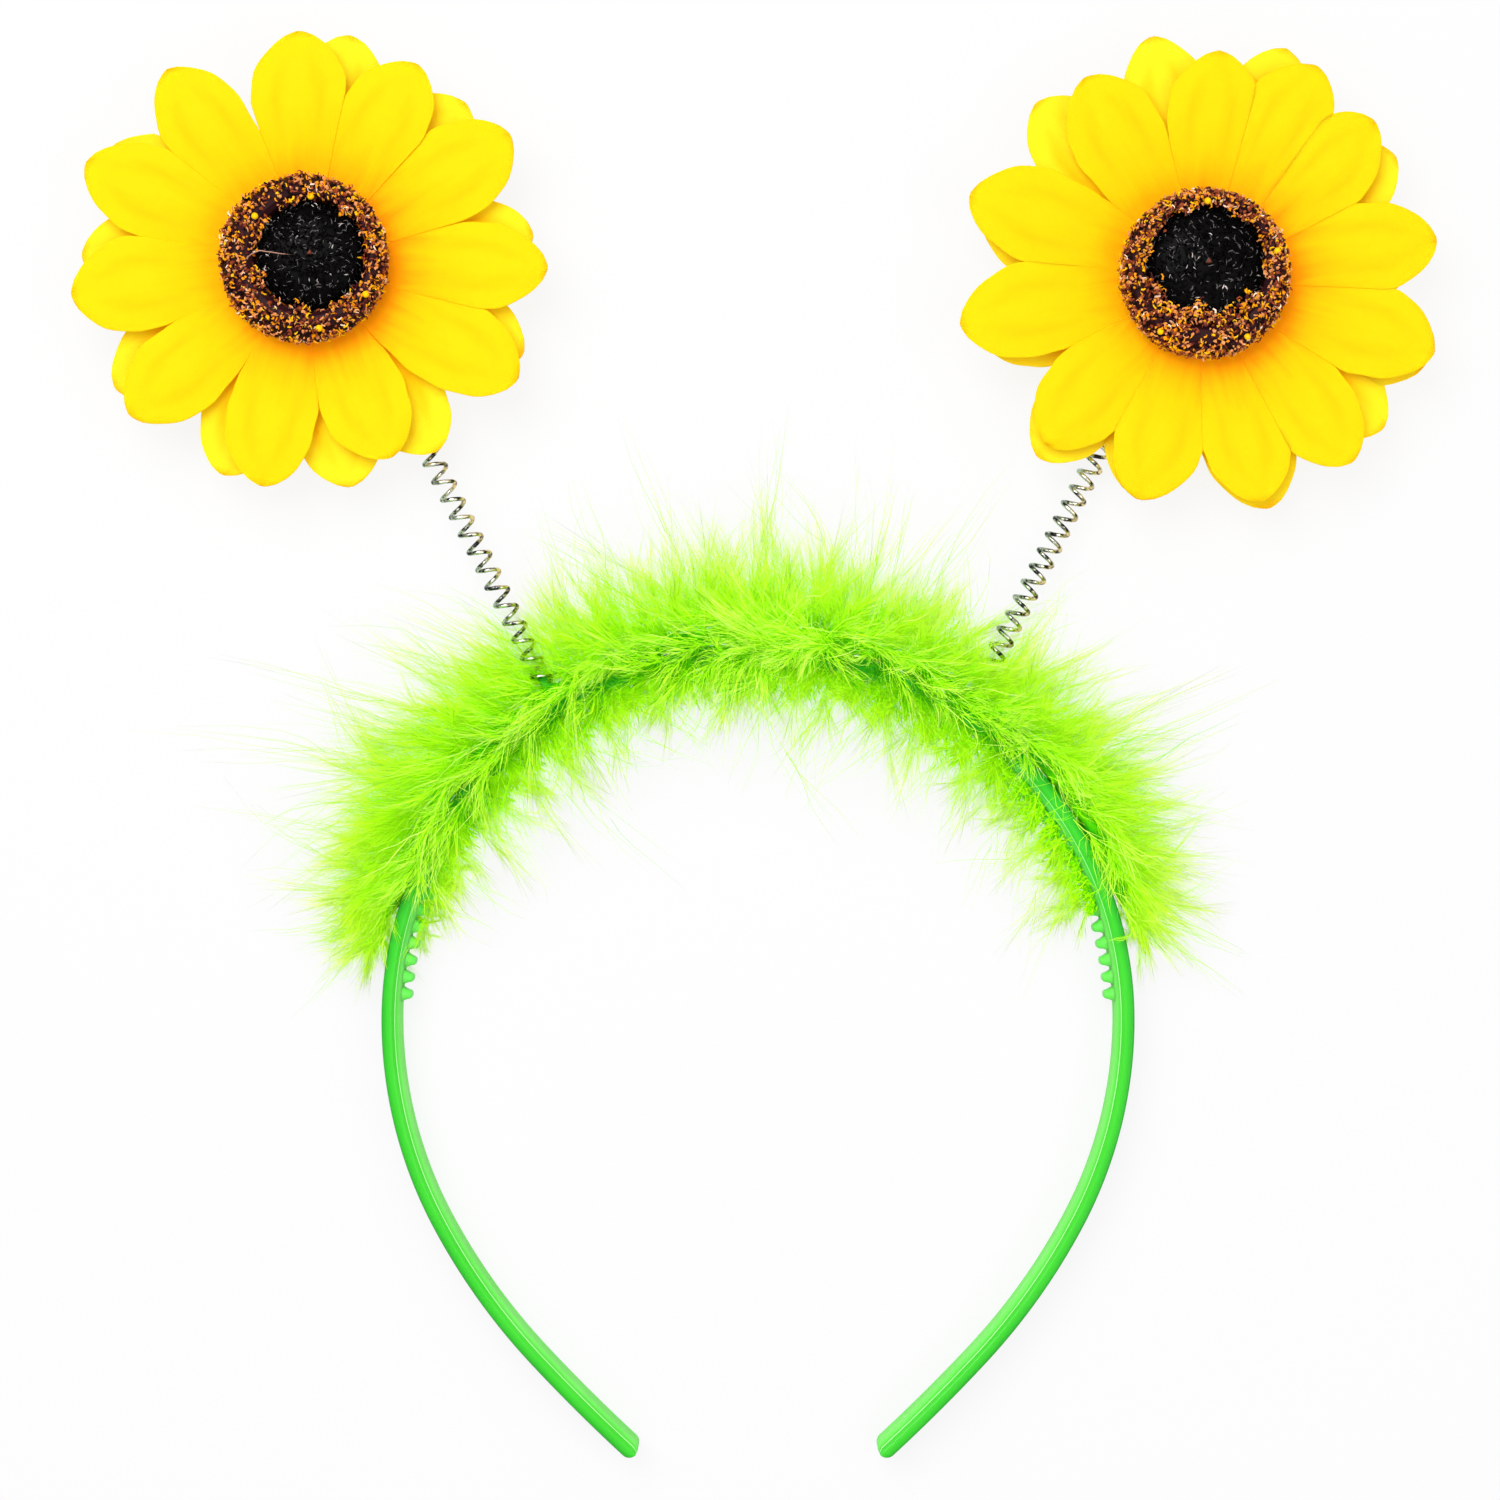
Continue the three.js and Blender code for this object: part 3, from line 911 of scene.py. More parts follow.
@dataclass(frozen=True)
class Flower:
    """Where one flower lies, how its spring runs, its dark middle and its petals by turn and reach."""

    side: str
    x: float
    y: float
    spring_turn: float
    spring_lean: float
    coils: float
    # How far from the band its spring comes out of the feathers
    bare_from: float
    # The dark middle, and how far it lies off the flower's own
    dome_radius: float
    dome_x: float
    dome_y: float
    # How far the ring closes over the dark middle below and above it, as shares of the ring's wall
    shut: Pair
    crumbs: int
    curls: int
    petals: dict[Layer, tuple[Pair, ...]]
    # Round grains in the ring, by their place from the flower's middle
    grains: tuple[Pair, ...]
    seed: int

    @property
    def centre(self) -> Array:
        """The flower's middle on the surface."""
        return np.array([self.x, self.y, 0.0])


FLOWERS = (
    Flower(
        side="left",
        x=-78.3,
        y=131.4,
        spring_turn=-32.8,
        spring_lean=-26.7,
        coils=22.5,
        bare_from=3.0,
        dome_radius=9.4,
        dome_x=1.4,
        dome_y=0.5,
        shut=(0.0, 0.0),
        crumbs=1950,
        curls=1080,
        petals={
            Layer.FRONT: (
                (-2, 42), (30, 41.6), (61, 39), (92, 39.4), (126, 40.4), (156, 41.1),
                (188, 40.6), (222, 40.3), (258, 39.7), (293, 37.3), (331, 42.2),
            ),
            Layer.BACK: (
                (7, 39.6), (46, 39), (78, 39.9), (128, 38), (151, 39.5), (177, 38.9),
                (214, 39.7), (249, 39.6), (281, 39.7), (304, 39.9), (337, 40.8),
            ),
        },
        grains=((1.6, 10.4), (-7.9, 6.9), (7.3, -5.1), (11.1, -6.5), (3.1, -12.3)),
        seed=11,
    ),
    Flower(
        side="right",
        x=77.0,
        y=128.7,
        spring_turn=34.2,
        spring_lean=27.0,
        coils=24.0,
        bare_from=9.5,
        dome_radius=10.1,
        dome_x=0.0,
        dome_y=1.7,
        shut=(0.38, 0.18),
        crumbs=2450,
        curls=1320,
        petals={
            Layer.FRONT: (
                (10, 40.6), (41, 39.7), (63, 41), (87, 38.9), (122, 39.9), (160, 42.8),
                (191, 43), (225, 40), (255, 40.2), (284, 40.2), (309, 41.1), (342, 41.8),
            ),
            Layer.BACK: (
                (8, 38.5), (33, 39.4), (69, 42.3), (101, 42.7), (134, 41.8), (165, 40),
                (196, 39.5), (227, 42.2), (252, 39.6), (285, 41.6), (319, 40.8), (340, 41.4),
            ),
        },
        grains=((0.0, 12.2), (-3.0, 10.9), (6.9, -11.0), (11.9, 3.6), (-8.0, -10.1)),
        seed=23,
    ),
)


@dataclass(frozen=True)
class SpringLine:
    """The straight line that a spring follows from the band's outer face to its flower's back."""

    foot: Array
    direction: Array
    length: float
    bare_from: float

    @classmethod
    def of(cls, flower: Flower, line: BandLine) -> "SpringLine":
        """Work out a flower's spring.

        Args:
            flower: The flower.
            line: The band's middle line.

        Returns:
            Its spring's line.
        """
        lean = math.radians(flower.spring_lean)
        direction = np.array([math.sin(lean), math.cos(lean), 0.0])
        foot = line.on_crown(flower.spring_turn, Headband.thickness / 2, CoilSpring.height)
        to_flower = flower.centre + (0, 0, CoilSpring.height) - foot
        reach = float(to_flower @ direction)
        miss = float(to_flower @ to_flower) - reach**2
        return cls(foot, direction, reach - math.sqrt(FlowerBack.radius**2 - miss), flower.bare_from)


def add_rod(
    shape: Shape,
    start: Array,
    direction: Array,
    length: float,
    radius: float,
    sides: int = 16,
    **values: float,
) -> None:
    """Add a plain round rod that lies flat.

    Args:
        shape: The piece that it joins.
        start: The middle of its first end.
        direction: Where it points, level.
        length: Its length.
        radius: Its radius.
        sides: Points round it.
        values: What it carries for the finish, by name.
    """
    ring = radius * circle_about(direction, round_turns(sides))
    shape.add(np.stack([start + ring, start + direction * length + ring]), tube_faces(2, sides), **values)


@dataclass
class Headband:
    """The moulded band: a bar with rounded edges and a bevel inside its front, comb teeth and two posts."""

    line: BandLine
    thickness: float = 3.2
    width: float = 8.0
    bevel_in: float = 1.5
    bevel_down: float = 1.6
    rounding: float = 0.55
    corner_steps: int = 6
    stations: int = 270
    tip_stops: int = 9
    tip_end: float = 0.12
    teeth: int = 63
    teeth_span: float = 86.0
    tooth_length: float = 1.8
    tooth_root: float = 2.9
    tooth_tip: float = 1.45
    tooth_width: float = 4.5
    tooth_sunk: float = 0.6
    tooth_rounding: float = 0.45
    tooth_levels: int = 5
    tooth_bends: int = 5
    tooth_sides: int = 12
    tooth_squareness: float = 0.5
    post_radius: float = 0.85
    post_length: float = 7.0
    # Painted light and shade at the two ends of each corner's rounding, from its outer foot on: low for
    # painted shade on the outer edge, higher for painted light through the thin inner bevel
    wall_painted_light: tuple[Pair, ...] = (
        (0.0, 0.0), (0.0, 0.16), (0.4, 0.46), (0.5, 0.6), (0.72, 0.8), (0.74, 0.6),
    )
    # How rough the wall is there, which is matt on its inside
    wall_rough: tuple[Pair, ...] = (
        (0.2, 0.2), (0.2, 0.2), (0.2, 0.2), (0.2, 0.2), (0.3, 0.9), (0.9, 0.4),
    )
    # The painted highlight line: where it runs on the bevel, as a share from its top, and the painted light
    # that it carries
    stripe: float = 0.4
    line_painted_light: float = 1.0
    line_corner: int = 3
    # Painted light on the teeth and the posts, on the same ramp
    tooth_painted_light: float = 0.66
    tooth_rough: float = 0.4
    post_painted_light: float = 0.3
    post_rough: float = 0.2

    def build(self) -> None:
        """Make the band and its finish."""
        shape = Shape()
        self.add_wall(shape)
        for turn in np.linspace(-self.teeth_span, self.teeth_span, self.teeth):
            self.add_tooth(shape, turn)
        for flower in FLOWERS:
            spring = SpringLine.of(flower, self.line)
            start = spring.foot - spring.direction * self.thickness / 2
            add_rod(
                shape,
                start,
                spring.direction,
                self.post_length,
                self.post_radius,
                thin=self.post_painted_light,
                rough=self.post_rough,
            )
        dress(shape.build("moulded_band"), MouldedPlastic().material(), Slot.PLASTIC, "headband")

    def add_wall(self, shape: Shape) -> None:
        """Sweep the wall's section along the band, with full round tips.

        Args:
            shape: The piece that it joins.
        """
        half = self.thickness / 2
        section = rounded(
            (
                (half, 0.0, self.rounding),
                (half, self.width, self.rounding),
                (self.bevel_in - half, self.width, self.rounding / 2),
                (
                    (1 - self.stripe) * self.bevel_in - half,
                    self.width - self.stripe * self.bevel_down,
                    self.rounding / 4,
                ),
                (-half, self.width - self.bevel_down, self.rounding),
                (-half, 0.0, self.rounding),
            ),
            self.corner_steps,
        )
        stop = np.linspace(math.pi / 2, self.tip_end, self.tip_stops)
        tip = self.line.half_length - half * (1 - np.cos(stop))
        wall = np.linspace(-tip[0], tip[0], self.stations)[1:-1]
        lengths = np.concatenate([-tip[::-1], wall, tip])
        share = np.concatenate([np.sin(stop)[::-1], np.ones(wall.size), np.sin(stop)])
        points = self.line.place(lengths[:, None], share[:, None] * section[:, 0], section[:, 1])
        thin = np.linspace(*np.array(self.wall_painted_light).T, self.corner_steps, axis=1)
        middle = self.corner_steps // 2
        # Paint the highlight line along the stripe's corner
        thin[self.line_corner, middle - 1:middle + 1] = self.line_painted_light
        rough = np.linspace(*np.array(self.wall_rough).T, self.corner_steps, axis=1)
        shape.add(
            points,
            tube_faces(len(lengths), len(section)),
            thin=np.tile(thin.ravel(), len(lengths)),
            rough=np.tile(rough.ravel(), len(lengths)),
        )

    def add_tooth(self, shape: Shape, turn: float) -> None:
        """Add one tooth, a flat peg with a round end.

        Args:
            shape: The piece that it joins.
            turn: Its turn from the top of the crown in degrees.
        """
        end = self.tooth_rounding
        straight = np.linspace(-self.tooth_sunk, self.tooth_length - end, self.tooth_levels)
        bend = np.linspace(0, math.pi / 2, self.tooth_bends + 1)[1:]
        depth = np.concatenate([straight, self.tooth_length - end + end * np.sin(bend)])
        inset = np.concatenate([np.zeros(straight.size), end * (1 - np.cos(bend))])
        taper = np.clip(depth / self.tooth_length, 0, 1)
        half = (self.tooth_tip + (self.tooth_root - self.tooth_tip) * (1 - taper) ** 2) / 2 - inset
        rise = self.tooth_width / 2 - inset
        around = round_turns(self.tooth_sides)
        across = np.sign(np.cos(around)) * np.abs(np.cos(around)) ** self.tooth_squareness
        high = np.sign(np.sin(around)) * np.abs(np.sin(around)) ** self.tooth_squareness
        radius = self.line.crown_radius - self.thickness / 2 - depth[:, None]
        slant = np.radians(turn) + half[:, None] * across / radius
        points = np.stack(
            [
                radius * np.sin(slant),
                radius * np.cos(slant),
                self.width / 2 + rise[:, None] * high,
            ],
            axis=-1,
        )
        faces = tube_faces(len(depth), self.tooth_sides)
        shape.add(points, faces, thin=self.tooth_painted_light, rough=self.tooth_rough)


@dataclass
class CoilSpring:
    """A coil spring of bright wire between the band and a flower's back."""

    flower: Flower
    line: BandLine
    coil: float = 3.4
    wire: float = 0.8
    height: float = 4.0
    clear: float = 1.0
    steps: int = 24
    sides: int = 8

    def build(self, material: bpy.types.Material) -> None:
        """Wind the wire.

        Args:
            material: The wire's finish.
        """
        spring = SpringLine.of(self.flower, self.line)
        share = np.linspace(0, 1, int(self.flower.coils * self.steps))
        turn = FULL_TURN * self.flower.coils * share
        out = circle_about(spring.direction, turn)
        run = self.clear + (spring.length - 2 * self.clear) * share
        middle = spring.foot + run[:, None] * spring.direction + self.coil / 2 * out
        around = round_turns(self.sides)
        ring = np.cos(around)[:, None] * out[:, None] + np.sin(around)[:, None] * spring.direction
        shape = Shape()
        # Which side of its turn each point of the wire is on, for the painted reflection in the coat's tints
        side = np.repeat((1 + np.cos(turn)) / 2, self.sides)
        shape.add(middle[:, None] + self.wire / 2 * ring, tube_faces(len(share), self.sides), side=side)
        name = f"coil_{self.flower.side}"
        dress(shape.build(name), material, Slot.STEEL, f"spring_{self.flower.side}")


@dataclass
class FlowerBack:
    """The plain felt pad behind a flower, with the post that enters the spring."""

    flower: Flower
    line: BandLine
    radius: float = 9.0
    height: float = 6.6
    rounding: float = 0.8
    corner_steps: int = 6
    sides: int = 56

    def build(self, material: bpy.types.Material) -> bpy.types.Object:
        """Turn the pad and add its post.

        Args:
            material: The felt.

        Returns:
            The piece that stands for the flower's back.
        """
        shape = Shape()
        bend = np.linspace(0, math.pi / 2, self.corner_steps)
        inset = self.rounding * (1 - np.cos(bend))
        lift = self.rounding * (1 - np.sin(bend))
        radii = np.concatenate([self.radius - inset[::-1], self.radius - inset])
        heights = np.concatenate([lift[::-1], self.height - lift])
        turn = round_turns(self.sides)
        ring = np.stack([np.cos(turn), np.sin(turn), np.zeros(self.sides)], axis=-1)
        points = self.flower.centre + radii[:, None, None] * ring
        points[..., 2] = heights[:, None]
        shape.add(points, tube_faces(len(radii), self.sides))
        spring = SpringLine.of(self.flower, self.line)
        start = spring.foot + spring.direction * (spring.length + Headband.thickness / 2)
        add_rod(shape, start, -spring.direction, Headband.post_length, Headband.post_radius)
        side = self.flower.side
        piece = shape.build(f"felt_back_{side}")
        dress(piece, material, Slot.FELT, f"flower_back_{side}")
        return piece


@dataclass
class PetalLayer:
    """One layer of petals, die cut from a single piece of cloth and pressed."""

    flower: Flower
    layer: Layer
    seat: float
    rise: float
    slot: Slot
    wall: float = 0.4
    hub_radius: float = 14.0
    hub_wall: float = 1.2
    hub_sides: int = 48
    root: float = 11.0
    flat_to: float = 15.0
    fold: float = 0.5
    fold_power: float = 1.6
    arch: float = 2.0
    lap: float = 0.4
    lap_rise: float = 0.1
    rows: int = 24
    row_power: float = 1.5
    columns: int = 15
    # Where the fold of the cut edge starts, which keeps the dark of the edge thin
    hem: float = 0.975
    # Share of a petal's length from its root, and half its width there
    sections: tuple[Pair, ...] = (
        (0.0, 4.0), (0.3, 6.6), (0.6, 7.9), (0.76, 7.2), (0.88, 5.3), (0.95, 3.3), (0.985, 1.7), (1.0, 0.4),
    )
    # Ragged edges: depth as a share of the width, and rate along the petal
    ragged: tuple[Pair, ...] = ((0.02, 11.0), (0.014, 29.0))
    # How far petals differ in width, lean, tilt, cup and curl of the tip, and their waves
    fat: float = 0.05
    lean: float = 0.9
    tilt: float = 0.3
    cup: float = 0.25
    cup_down: float = 0.05
    curl: float = 0.5
    wave: float = 0.12
    wave_rates: tuple[float, float, float] = (5.0, 9.0, 6.0)
    # Pressed creases: how far out they run, where they meet, their width and depth, and where they fade
    crease_out: float = 0.52
    crease_meet: float = 0.93
    crease_width: float = 0.13
    crease_depth: float = 0.1
    crease_from: Pair = (0.05, 0.45)
    crease_to: Pair = (0.95, 0.6)
    # Painted shade: deeper orange near the middle towards one side of the flower; deeper dye on the tips and
    # along the edges near them
    side_shade: float = 0.1
    side_shade_turn: float = -25.0
    tip_rim: float = 0.75
    tip_from: float = 0.95
    edge_rim: float = 0.2
    edge_from: float = 0.9
    edge_along: Pair = (0.6, 0.9)

    @property
    def name(self) -> str:
        """The layer's name among the pieces."""
        return f"petals_{self.layer.value}_{self.flower.side}"

    def build(self, material: bpy.types.Material, rests_on: str) -> bpy.types.Object:
        """Make the petals and the disc that joins them.

        Args:
            material: The cloth.
            rests_on: The piece under the layer; not used.

        Returns:
            The piece that stands for the layer.
        """
        shape = Shape()
        draw = np.random.default_rng(self.flower.seed + len(self.layer.value))
        rows = self.flower.petals[self.layer]
        area = math.pi * self.hub_radius**2
        for number, (turn, reach) in enumerate(rows):
            before = (turn - rows[number - 1][0]) % 360 / 2
            after = (rows[(number + 1) % len(rows)][0] - turn) % 360 / 2
            area += self.add_petal(shape, draw, number, turn, reach, (before, after))
        self.add_hub(shape)
        piece = shape.build(f"cloth_{self.name}")
        dress(piece, material, self.slot, self.name)
        return piece

    def add_hub(self, shape: Shape) -> None:
        """Add the disc of cloth in the middle.

        Args:
            shape: The piece that it joins.
        """
        turn = round_turns(self.hub_sides)
        ring = self.hub_radius * np.stack([np.cos(turn), np.sin(turn), np.zeros(self.hub_sides)], axis=-1)
        middle = self.flower.centre + (0, 0, self.seat + self.hub_wall / 2)
        lift = np.array([[[0, 0, -self.wall / 2]], [[0, 0, self.wall / 2]]])
        points = middle + ring + lift
        lie = np.broadcast_to(ring, points.shape)
        shape.add(
            points,
            tube_faces(2, self.hub_sides),
            along=0.0,
            crease=0.0,
            rim=0.0,
            lie=lie.reshape(-1, 3),
        )

    def add_petal(
        self,
        shape: Shape,
        draw: np.random.Generator,
        number: int,
        turn: float,
        reach: float,
        slits: Pair,
    ) -> float:
        """Add one petal as a thin closed shell.

        Args:
            shape: The piece that it joins.
            draw: Where its small differences come from.
            number: Its number in the layer.
            turn: Its direction from +X in degrees.
            reach: How far its tip is from the flower's middle.
            slits: Half the angle to the petal before it, and to the one after it.

        Returns:
            The area of cloth in it beyond the middle disc.
        """
        along = 1 - (1 - np.linspace(0, 1, self.rows)) ** self.row_power
        across = np.concatenate([[-1.0], np.linspace(-self.hem, self.hem, self.columns - 2), [1.0]])
        radius = self.root + (reach - self.root) * along
        free = np.clip((radius - self.flat_to) / (reach - self.flat_to), 0, 1)
        wave, tilt, cup, curl, lean, fat = draw.uniform(-1, 1, 6)
        halves = [self.half_width(draw, along, radius, fat, angle) for angle in slits]
        sideways = np.where(across < 0, halves[0][:, None], halves[1][:, None]) * across
        sideways = sideways + (self.lean * lean * along**4)[:, None]
        crease = self.creases(along[:, None], free[:, None], across)
        edge = np.abs(across)
        far = free[:, None]
        height = self.seat + self.hub_wall / 2 + self.rise * np.sin(self.arch * far)
        height = height + self.fold * np.sin(math.pi * far) * (1 - edge**self.fold_power)
        height = height - self.crease_depth * crease - self.lap_rise * across**3
        height = height + far * (self.tilt * tilt * across + (self.cup * cup - self.cup_down) * edge**2)
        height = height + self.curl * curl * far**5
        by_side, by_length, by_petal = self.wave_rates
        ripple = np.sin(by_side * across + by_length * along[:, None] + by_petal * wave)
        height = height + self.wave * ripple * far
        angle = math.radians(turn)
        forth = np.array([math.cos(angle), math.sin(angle), 0.0])
        left = np.array([-math.sin(angle), math.cos(angle), 0.0])
        middle = self.flower.centre + radius[:, None, None] * forth + sideways[..., None] * left
        top, bottom = middle.copy(), middle.copy()
        top[..., 2] = height + self.wall / 2
        bottom[..., 2] = height - self.wall / 2
        near_tip = smoothstep(*self.edge_along, along)[:, None]
        edge_rim = self.edge_rim * smoothstep(self.edge_from, 1.0, edge) * near_tip
        rim = np.maximum(self.tip_rim * smoothstep(self.tip_from, 1.0, along)[:, None], edge_rim)
        # Painted shade: deeper orange near the root towards one side of the flower
        side_shaded = free - self.side_shade * math.cos(math.radians(turn - self.side_shade_turn)) * (1 - free)
        lie = np.stack(np.broadcast_arrays(sideways, radius[:, None], float(number + 1)), axis=-1)
        # The crease values also paint shade along the creases in the finish
        shape.add(
            np.concatenate([top, bottom[:, ::-1]], axis=1),
            tube_faces(self.rows, 2 * self.columns),
            along=np.repeat(side_shaded, 2 * self.columns),
            crease=self.on_both(crease).ravel(),
            rim=self.on_both(rim).ravel(),
            lie=self.on_both(lie).reshape(-1, 3),
        )
        beyond = radius > self.hub_radius
        return float(np.trapz((halves[0] + halves[1])[beyond], radius[beyond]))

    def half_width(
        self,
        draw: np.random.Generator,
        along: Array,
        radius: Array,
        fat: float,
        slit: float,
    ) -> Array:
        """Work out one side of a petal's outline, which stops short of the next petal's middle.

        Args:
            draw: Where the ragged edge comes from.
            along: How far along the petal, from 0 to 1.
            radius: How far that is from the flower's middle.
            fat: How wide the petal is for its kind, from -1 to 1.
            slit: Half the angle to the next petal on that side.

        Returns:
            How far out from the petal's middle line its edge is.
        """
        half = smooth_table(along, *zip(*self.sections)) * (1 + self.fat * fat)
        phases = draw.uniform(0, FULL_TURN, len(self.ragged))
        notches = (depth * np.sin(rate * along + phase) for (depth, rate), phase in zip(self.ragged, phases))
        return np.minimum(half * (1 + sum(notches)), radius * math.sin(math.radians(slit)) + self.lap)

    def creases(self, along: Array, free: Array, across: Array) -> Array:
        """Tell how near points are to the two creases that are pressed into a petal, from 0 to 1.

        Args:
            along: How far along the petal they are, a row for each.
            free: How far along the part that stands free.
            across: How far out to its edges, from -1 to 1.

        Returns:
            A row for each place along the petal.
        """
        groove = self.crease_out * np.sqrt(np.clip(1 - (along / self.crease_meet) ** 4, 0, 1))
        crease = np.exp(-(((np.abs(across) - groove) / self.crease_width) ** 2))
        return crease * smoothstep(*self.crease_from, free) * smoothstep(*self.crease_to, free)

    @staticmethod
    def on_both(rows: Array) -> Array:
        """Run values over a petal's top and back along its underside."""
        return np.concatenate([rows, rows[:, ::-1]], axis=1)


@dataclass
class FloretRing:
    """The crumbly ring round a flower's dark middle."""

    flower: Flower
    seat: float
    outer: float = 14.8
    gap: float = 0.3
    sides: int = 80
    # The ring's half section, by how far out through its wall and how high over its seat
    section: tuple[Pair, ...] = (
        (0.0, 0.3), (0.25, 0.4), (0.7, 1.2), (1.0, 2.2), (1.0, 3.6), (0.86, 5.2), (0.62, 6.4),
        (0.42, 6.8), (0.2, 6.5), (0.05, 5.6), (0.0, 4.0),
    )
    heart: Pair = (0.5, 2.5)
    body_inset: float = 0.6
    body_share: float = 0.9
    # Painted shade: the body under the crumbs is near black, so that the gaps between them look shaded
    body_shade_tint: float = 0.1
    # Where crumbs are bedded: the wall's usual width, how far they crowd to its wide side, their depth,
    # how far out they lie at most, and the least height of those that lie over the dark middle
    wall: float = 4.5
    crowding: float = 0.7
    bedding: Pair = (-0.35, 0.1)
    outermost: float = 0.88
    over_dome: float = 5.9
    shut_within: float = 0.7
    # The ragged inner edge: how wide it is, how far crumbs stray there, and its lobes by depth and number
    ragged_within: float = 0.35
    ragged: Pair = (0.07, 0.09)
    lobes: Pair = (0.1, 0.08)
    lobe_counts: tuple[int, int] = (7, 12)
    crumb_belt: int = 5
    crumb_tilt: float = 0.55
    crumb_size: Pair = (0.2, 0.44)
    crumb_length: Pair = (0.8, 1.6)
    crumb_uneven: Pair = (0.6, 1.25)
    crumb_skew: Pair = (-0.2, 0.6)
    crumb_tint: Pair = (0.0, 0.86)
    curl_turn: float = 3.4
    curl_knots: int = 4
    curl_tilt: float = 0.6
    curl_radius: Pair = (0.32, 0.54)
    curl_width: Pair = (0.24, 0.4)
    curl_taper: Pair = (1.1, 0.6)
    curl_tint: Pair = (0.3, 1.0)
    grain: float = 0.62
    grain_tint: float = 0.9
    grain_pole: float = 0.2
    grain_rows: int = 6
    grain_sides: int = 9

    @property
    def inner(self) -> float:
        """Radius of the hole."""
        return self.flower.dome_radius + self.gap

    def spots(self, across: Array, up: Array, turn: Array) -> Array:
        """Find points of the ring, whose hole lies off its middle.

        Args:
            across: How far out through its wall, from 0 to 1.
            up: How high over its seat.
            turn: The direction from the flower's middle.

        Returns:
            The points.
        """
        radius = self.inner + (self.outer - self.inner) * across
        x = self.flower.x + radius * np.cos(turn) + (1 - across) * self.flower.dome_x
        y = self.flower.y + radius * np.sin(turn) + (1 - across) * self.flower.dome_y
        return np.stack(np.broadcast_arrays(x, y, self.seat + up), axis=-1)

    def build(self, material: bpy.types.Material) -> None:
        """Make the ring's body and bed its crumbs.

        Args:
            material: The crumbs' finish.
        """
        shape = Shape()
        section = np.array(self.section)
        turn = round_turns(self.sides)
        up = np.maximum(section[:, 1] - self.body_inset, 0.0)
        body = self.spots(section[:, 0] * self.body_share, up, turn[:, None])
        # The body's near-black tint paints the shade in the gaps between crumbs
        shape.add(body, tube_faces(self.sides, len(section), ring=True), tint=self.body_shade_tint)
        draw = np.random.default_rng(self.flower.seed)
        self.add_crumbs(shape, draw)
        self.add_curls(shape, draw)
        for x, y in self.flower.grains:
            self.add_grain(shape, x, y)
        side = self.flower.side
        piece = shape.build(f"florets_{side}", smooth=False)
        dress(piece, material, Slot.CRUMB, f"floret_ring_{side}")

    def strewn(self, draw: np.random.Generator, count: int) -> tuple[Array, Array]:
        """Strew places over the ring's skin.

        Args:
            draw: Where their differences come from.
            count: How many.

        Returns:
            The places, and the way out from the skin at each.
        """
        # The rows from the ring's outer foot over its crown to its hole
        skin = np.array(self.section)[2:]
        lengths = np.linalg.norm(np.diff(skin * (self.wall, 1), axis=0), axis=1)
        steps = np.concatenate([[0], np.cumsum(lengths)])
        place = draw.uniform(0, steps[-1], count)
        across = np.interp(place, steps, skin[:, 0])
        up = np.interp(place, steps, skin[:, 1])
        drift = math.hypot(self.flower.dome_x, self.flower.dome_y) / (self.outer - self.flower.dome_radius)
        narrow = math.atan2(self.flower.dome_y, self.flower.dome_x)
        turn = draw.uniform(0, FULL_TURN, count)
        turn = turn - self.crowding * drift * np.sin(turn - narrow + math.pi)
        few, many = self.lobe_counts
        lobes = self.lobes[0] * np.sin(few * turn + self.flower.seed) + self.lobes[1] * np.sin(many * turn)
        stray = draw.normal(*self.ragged, count) + lobes
        ragged = np.where(across < self.ragged_within, stray, 0.0)
        low, high = self.flower.shut
        shut = np.where(np.sin(turn) < 0, low, high) * np.sin(turn) ** 2
        ragged = ragged - shut * np.maximum(1 - across / self.shut_within, 0)
        across = np.minimum(across + ragged, self.outermost)
        up = np.where(across < 0, np.maximum(up, self.over_dome), up)
        seat = self.spots(across, up + draw.uniform(*self.bedding, count), turn)
        middle, middle_up = self.heart
        heart = self.spots(np.full(count, middle), np.full(count, middle_up), turn)
        return seat, unit(seat - heart)

    def add_crumbs(self, shape: Shape, draw: np.random.Generator) -> None:
        """Bed crumbs in the ring's skin, each a squat double point.

        Args:
            shape: The piece that they join.
            draw: Where their differences come from.
        """
        count, belt = self.flower.crumbs, self.crumb_belt
        seat, out = self.strewn(draw, count)
        axis = unit(out + draw.normal(0, self.crumb_tilt, (count, 3)))
        flat = unit(np.cross(axis, draw.normal(0, 1, (count, 3))))
        side = np.cross(axis, flat)
        size = draw.uniform(*self.crumb_size, count)
        length = size * draw.uniform(*self.crumb_length, count)
        around = round_turns(belt) + draw.uniform(0, 1, (count, 1))
        uneven = size[:, None] * draw.uniform(*self.crumb_uneven, (count, belt))
        skew = length[:, None] * draw.uniform(*self.crumb_skew, (count, belt))
        waist = (
            (uneven * np.cos(around))[..., None] * flat[:, None]
            + (uneven * np.sin(around))[..., None] * side[:, None]
            + skew[..., None] * axis[:, None]
        )
        ends = np.stack([-length[:, None] * axis, length[:, None] * axis], axis=1)
        points = seat[:, None] + np.concatenate([waist, ends], axis=1)
        index = np.arange(belt)
        after = (index + 1) % belt
        upper = np.stack([index, after, np.full(belt, belt + 1)], axis=-1)
        lower = np.stack([after, index, np.full(belt, belt)], axis=-1)
        faces = np.concatenate([upper, lower]) + np.arange(count)[:, None, None] * (belt + 2)
        tint = np.repeat(draw.uniform(*self.crumb_tint, count), belt + 2)
        shape.add(points, [faces.reshape(-1, 3)], tint=tint)

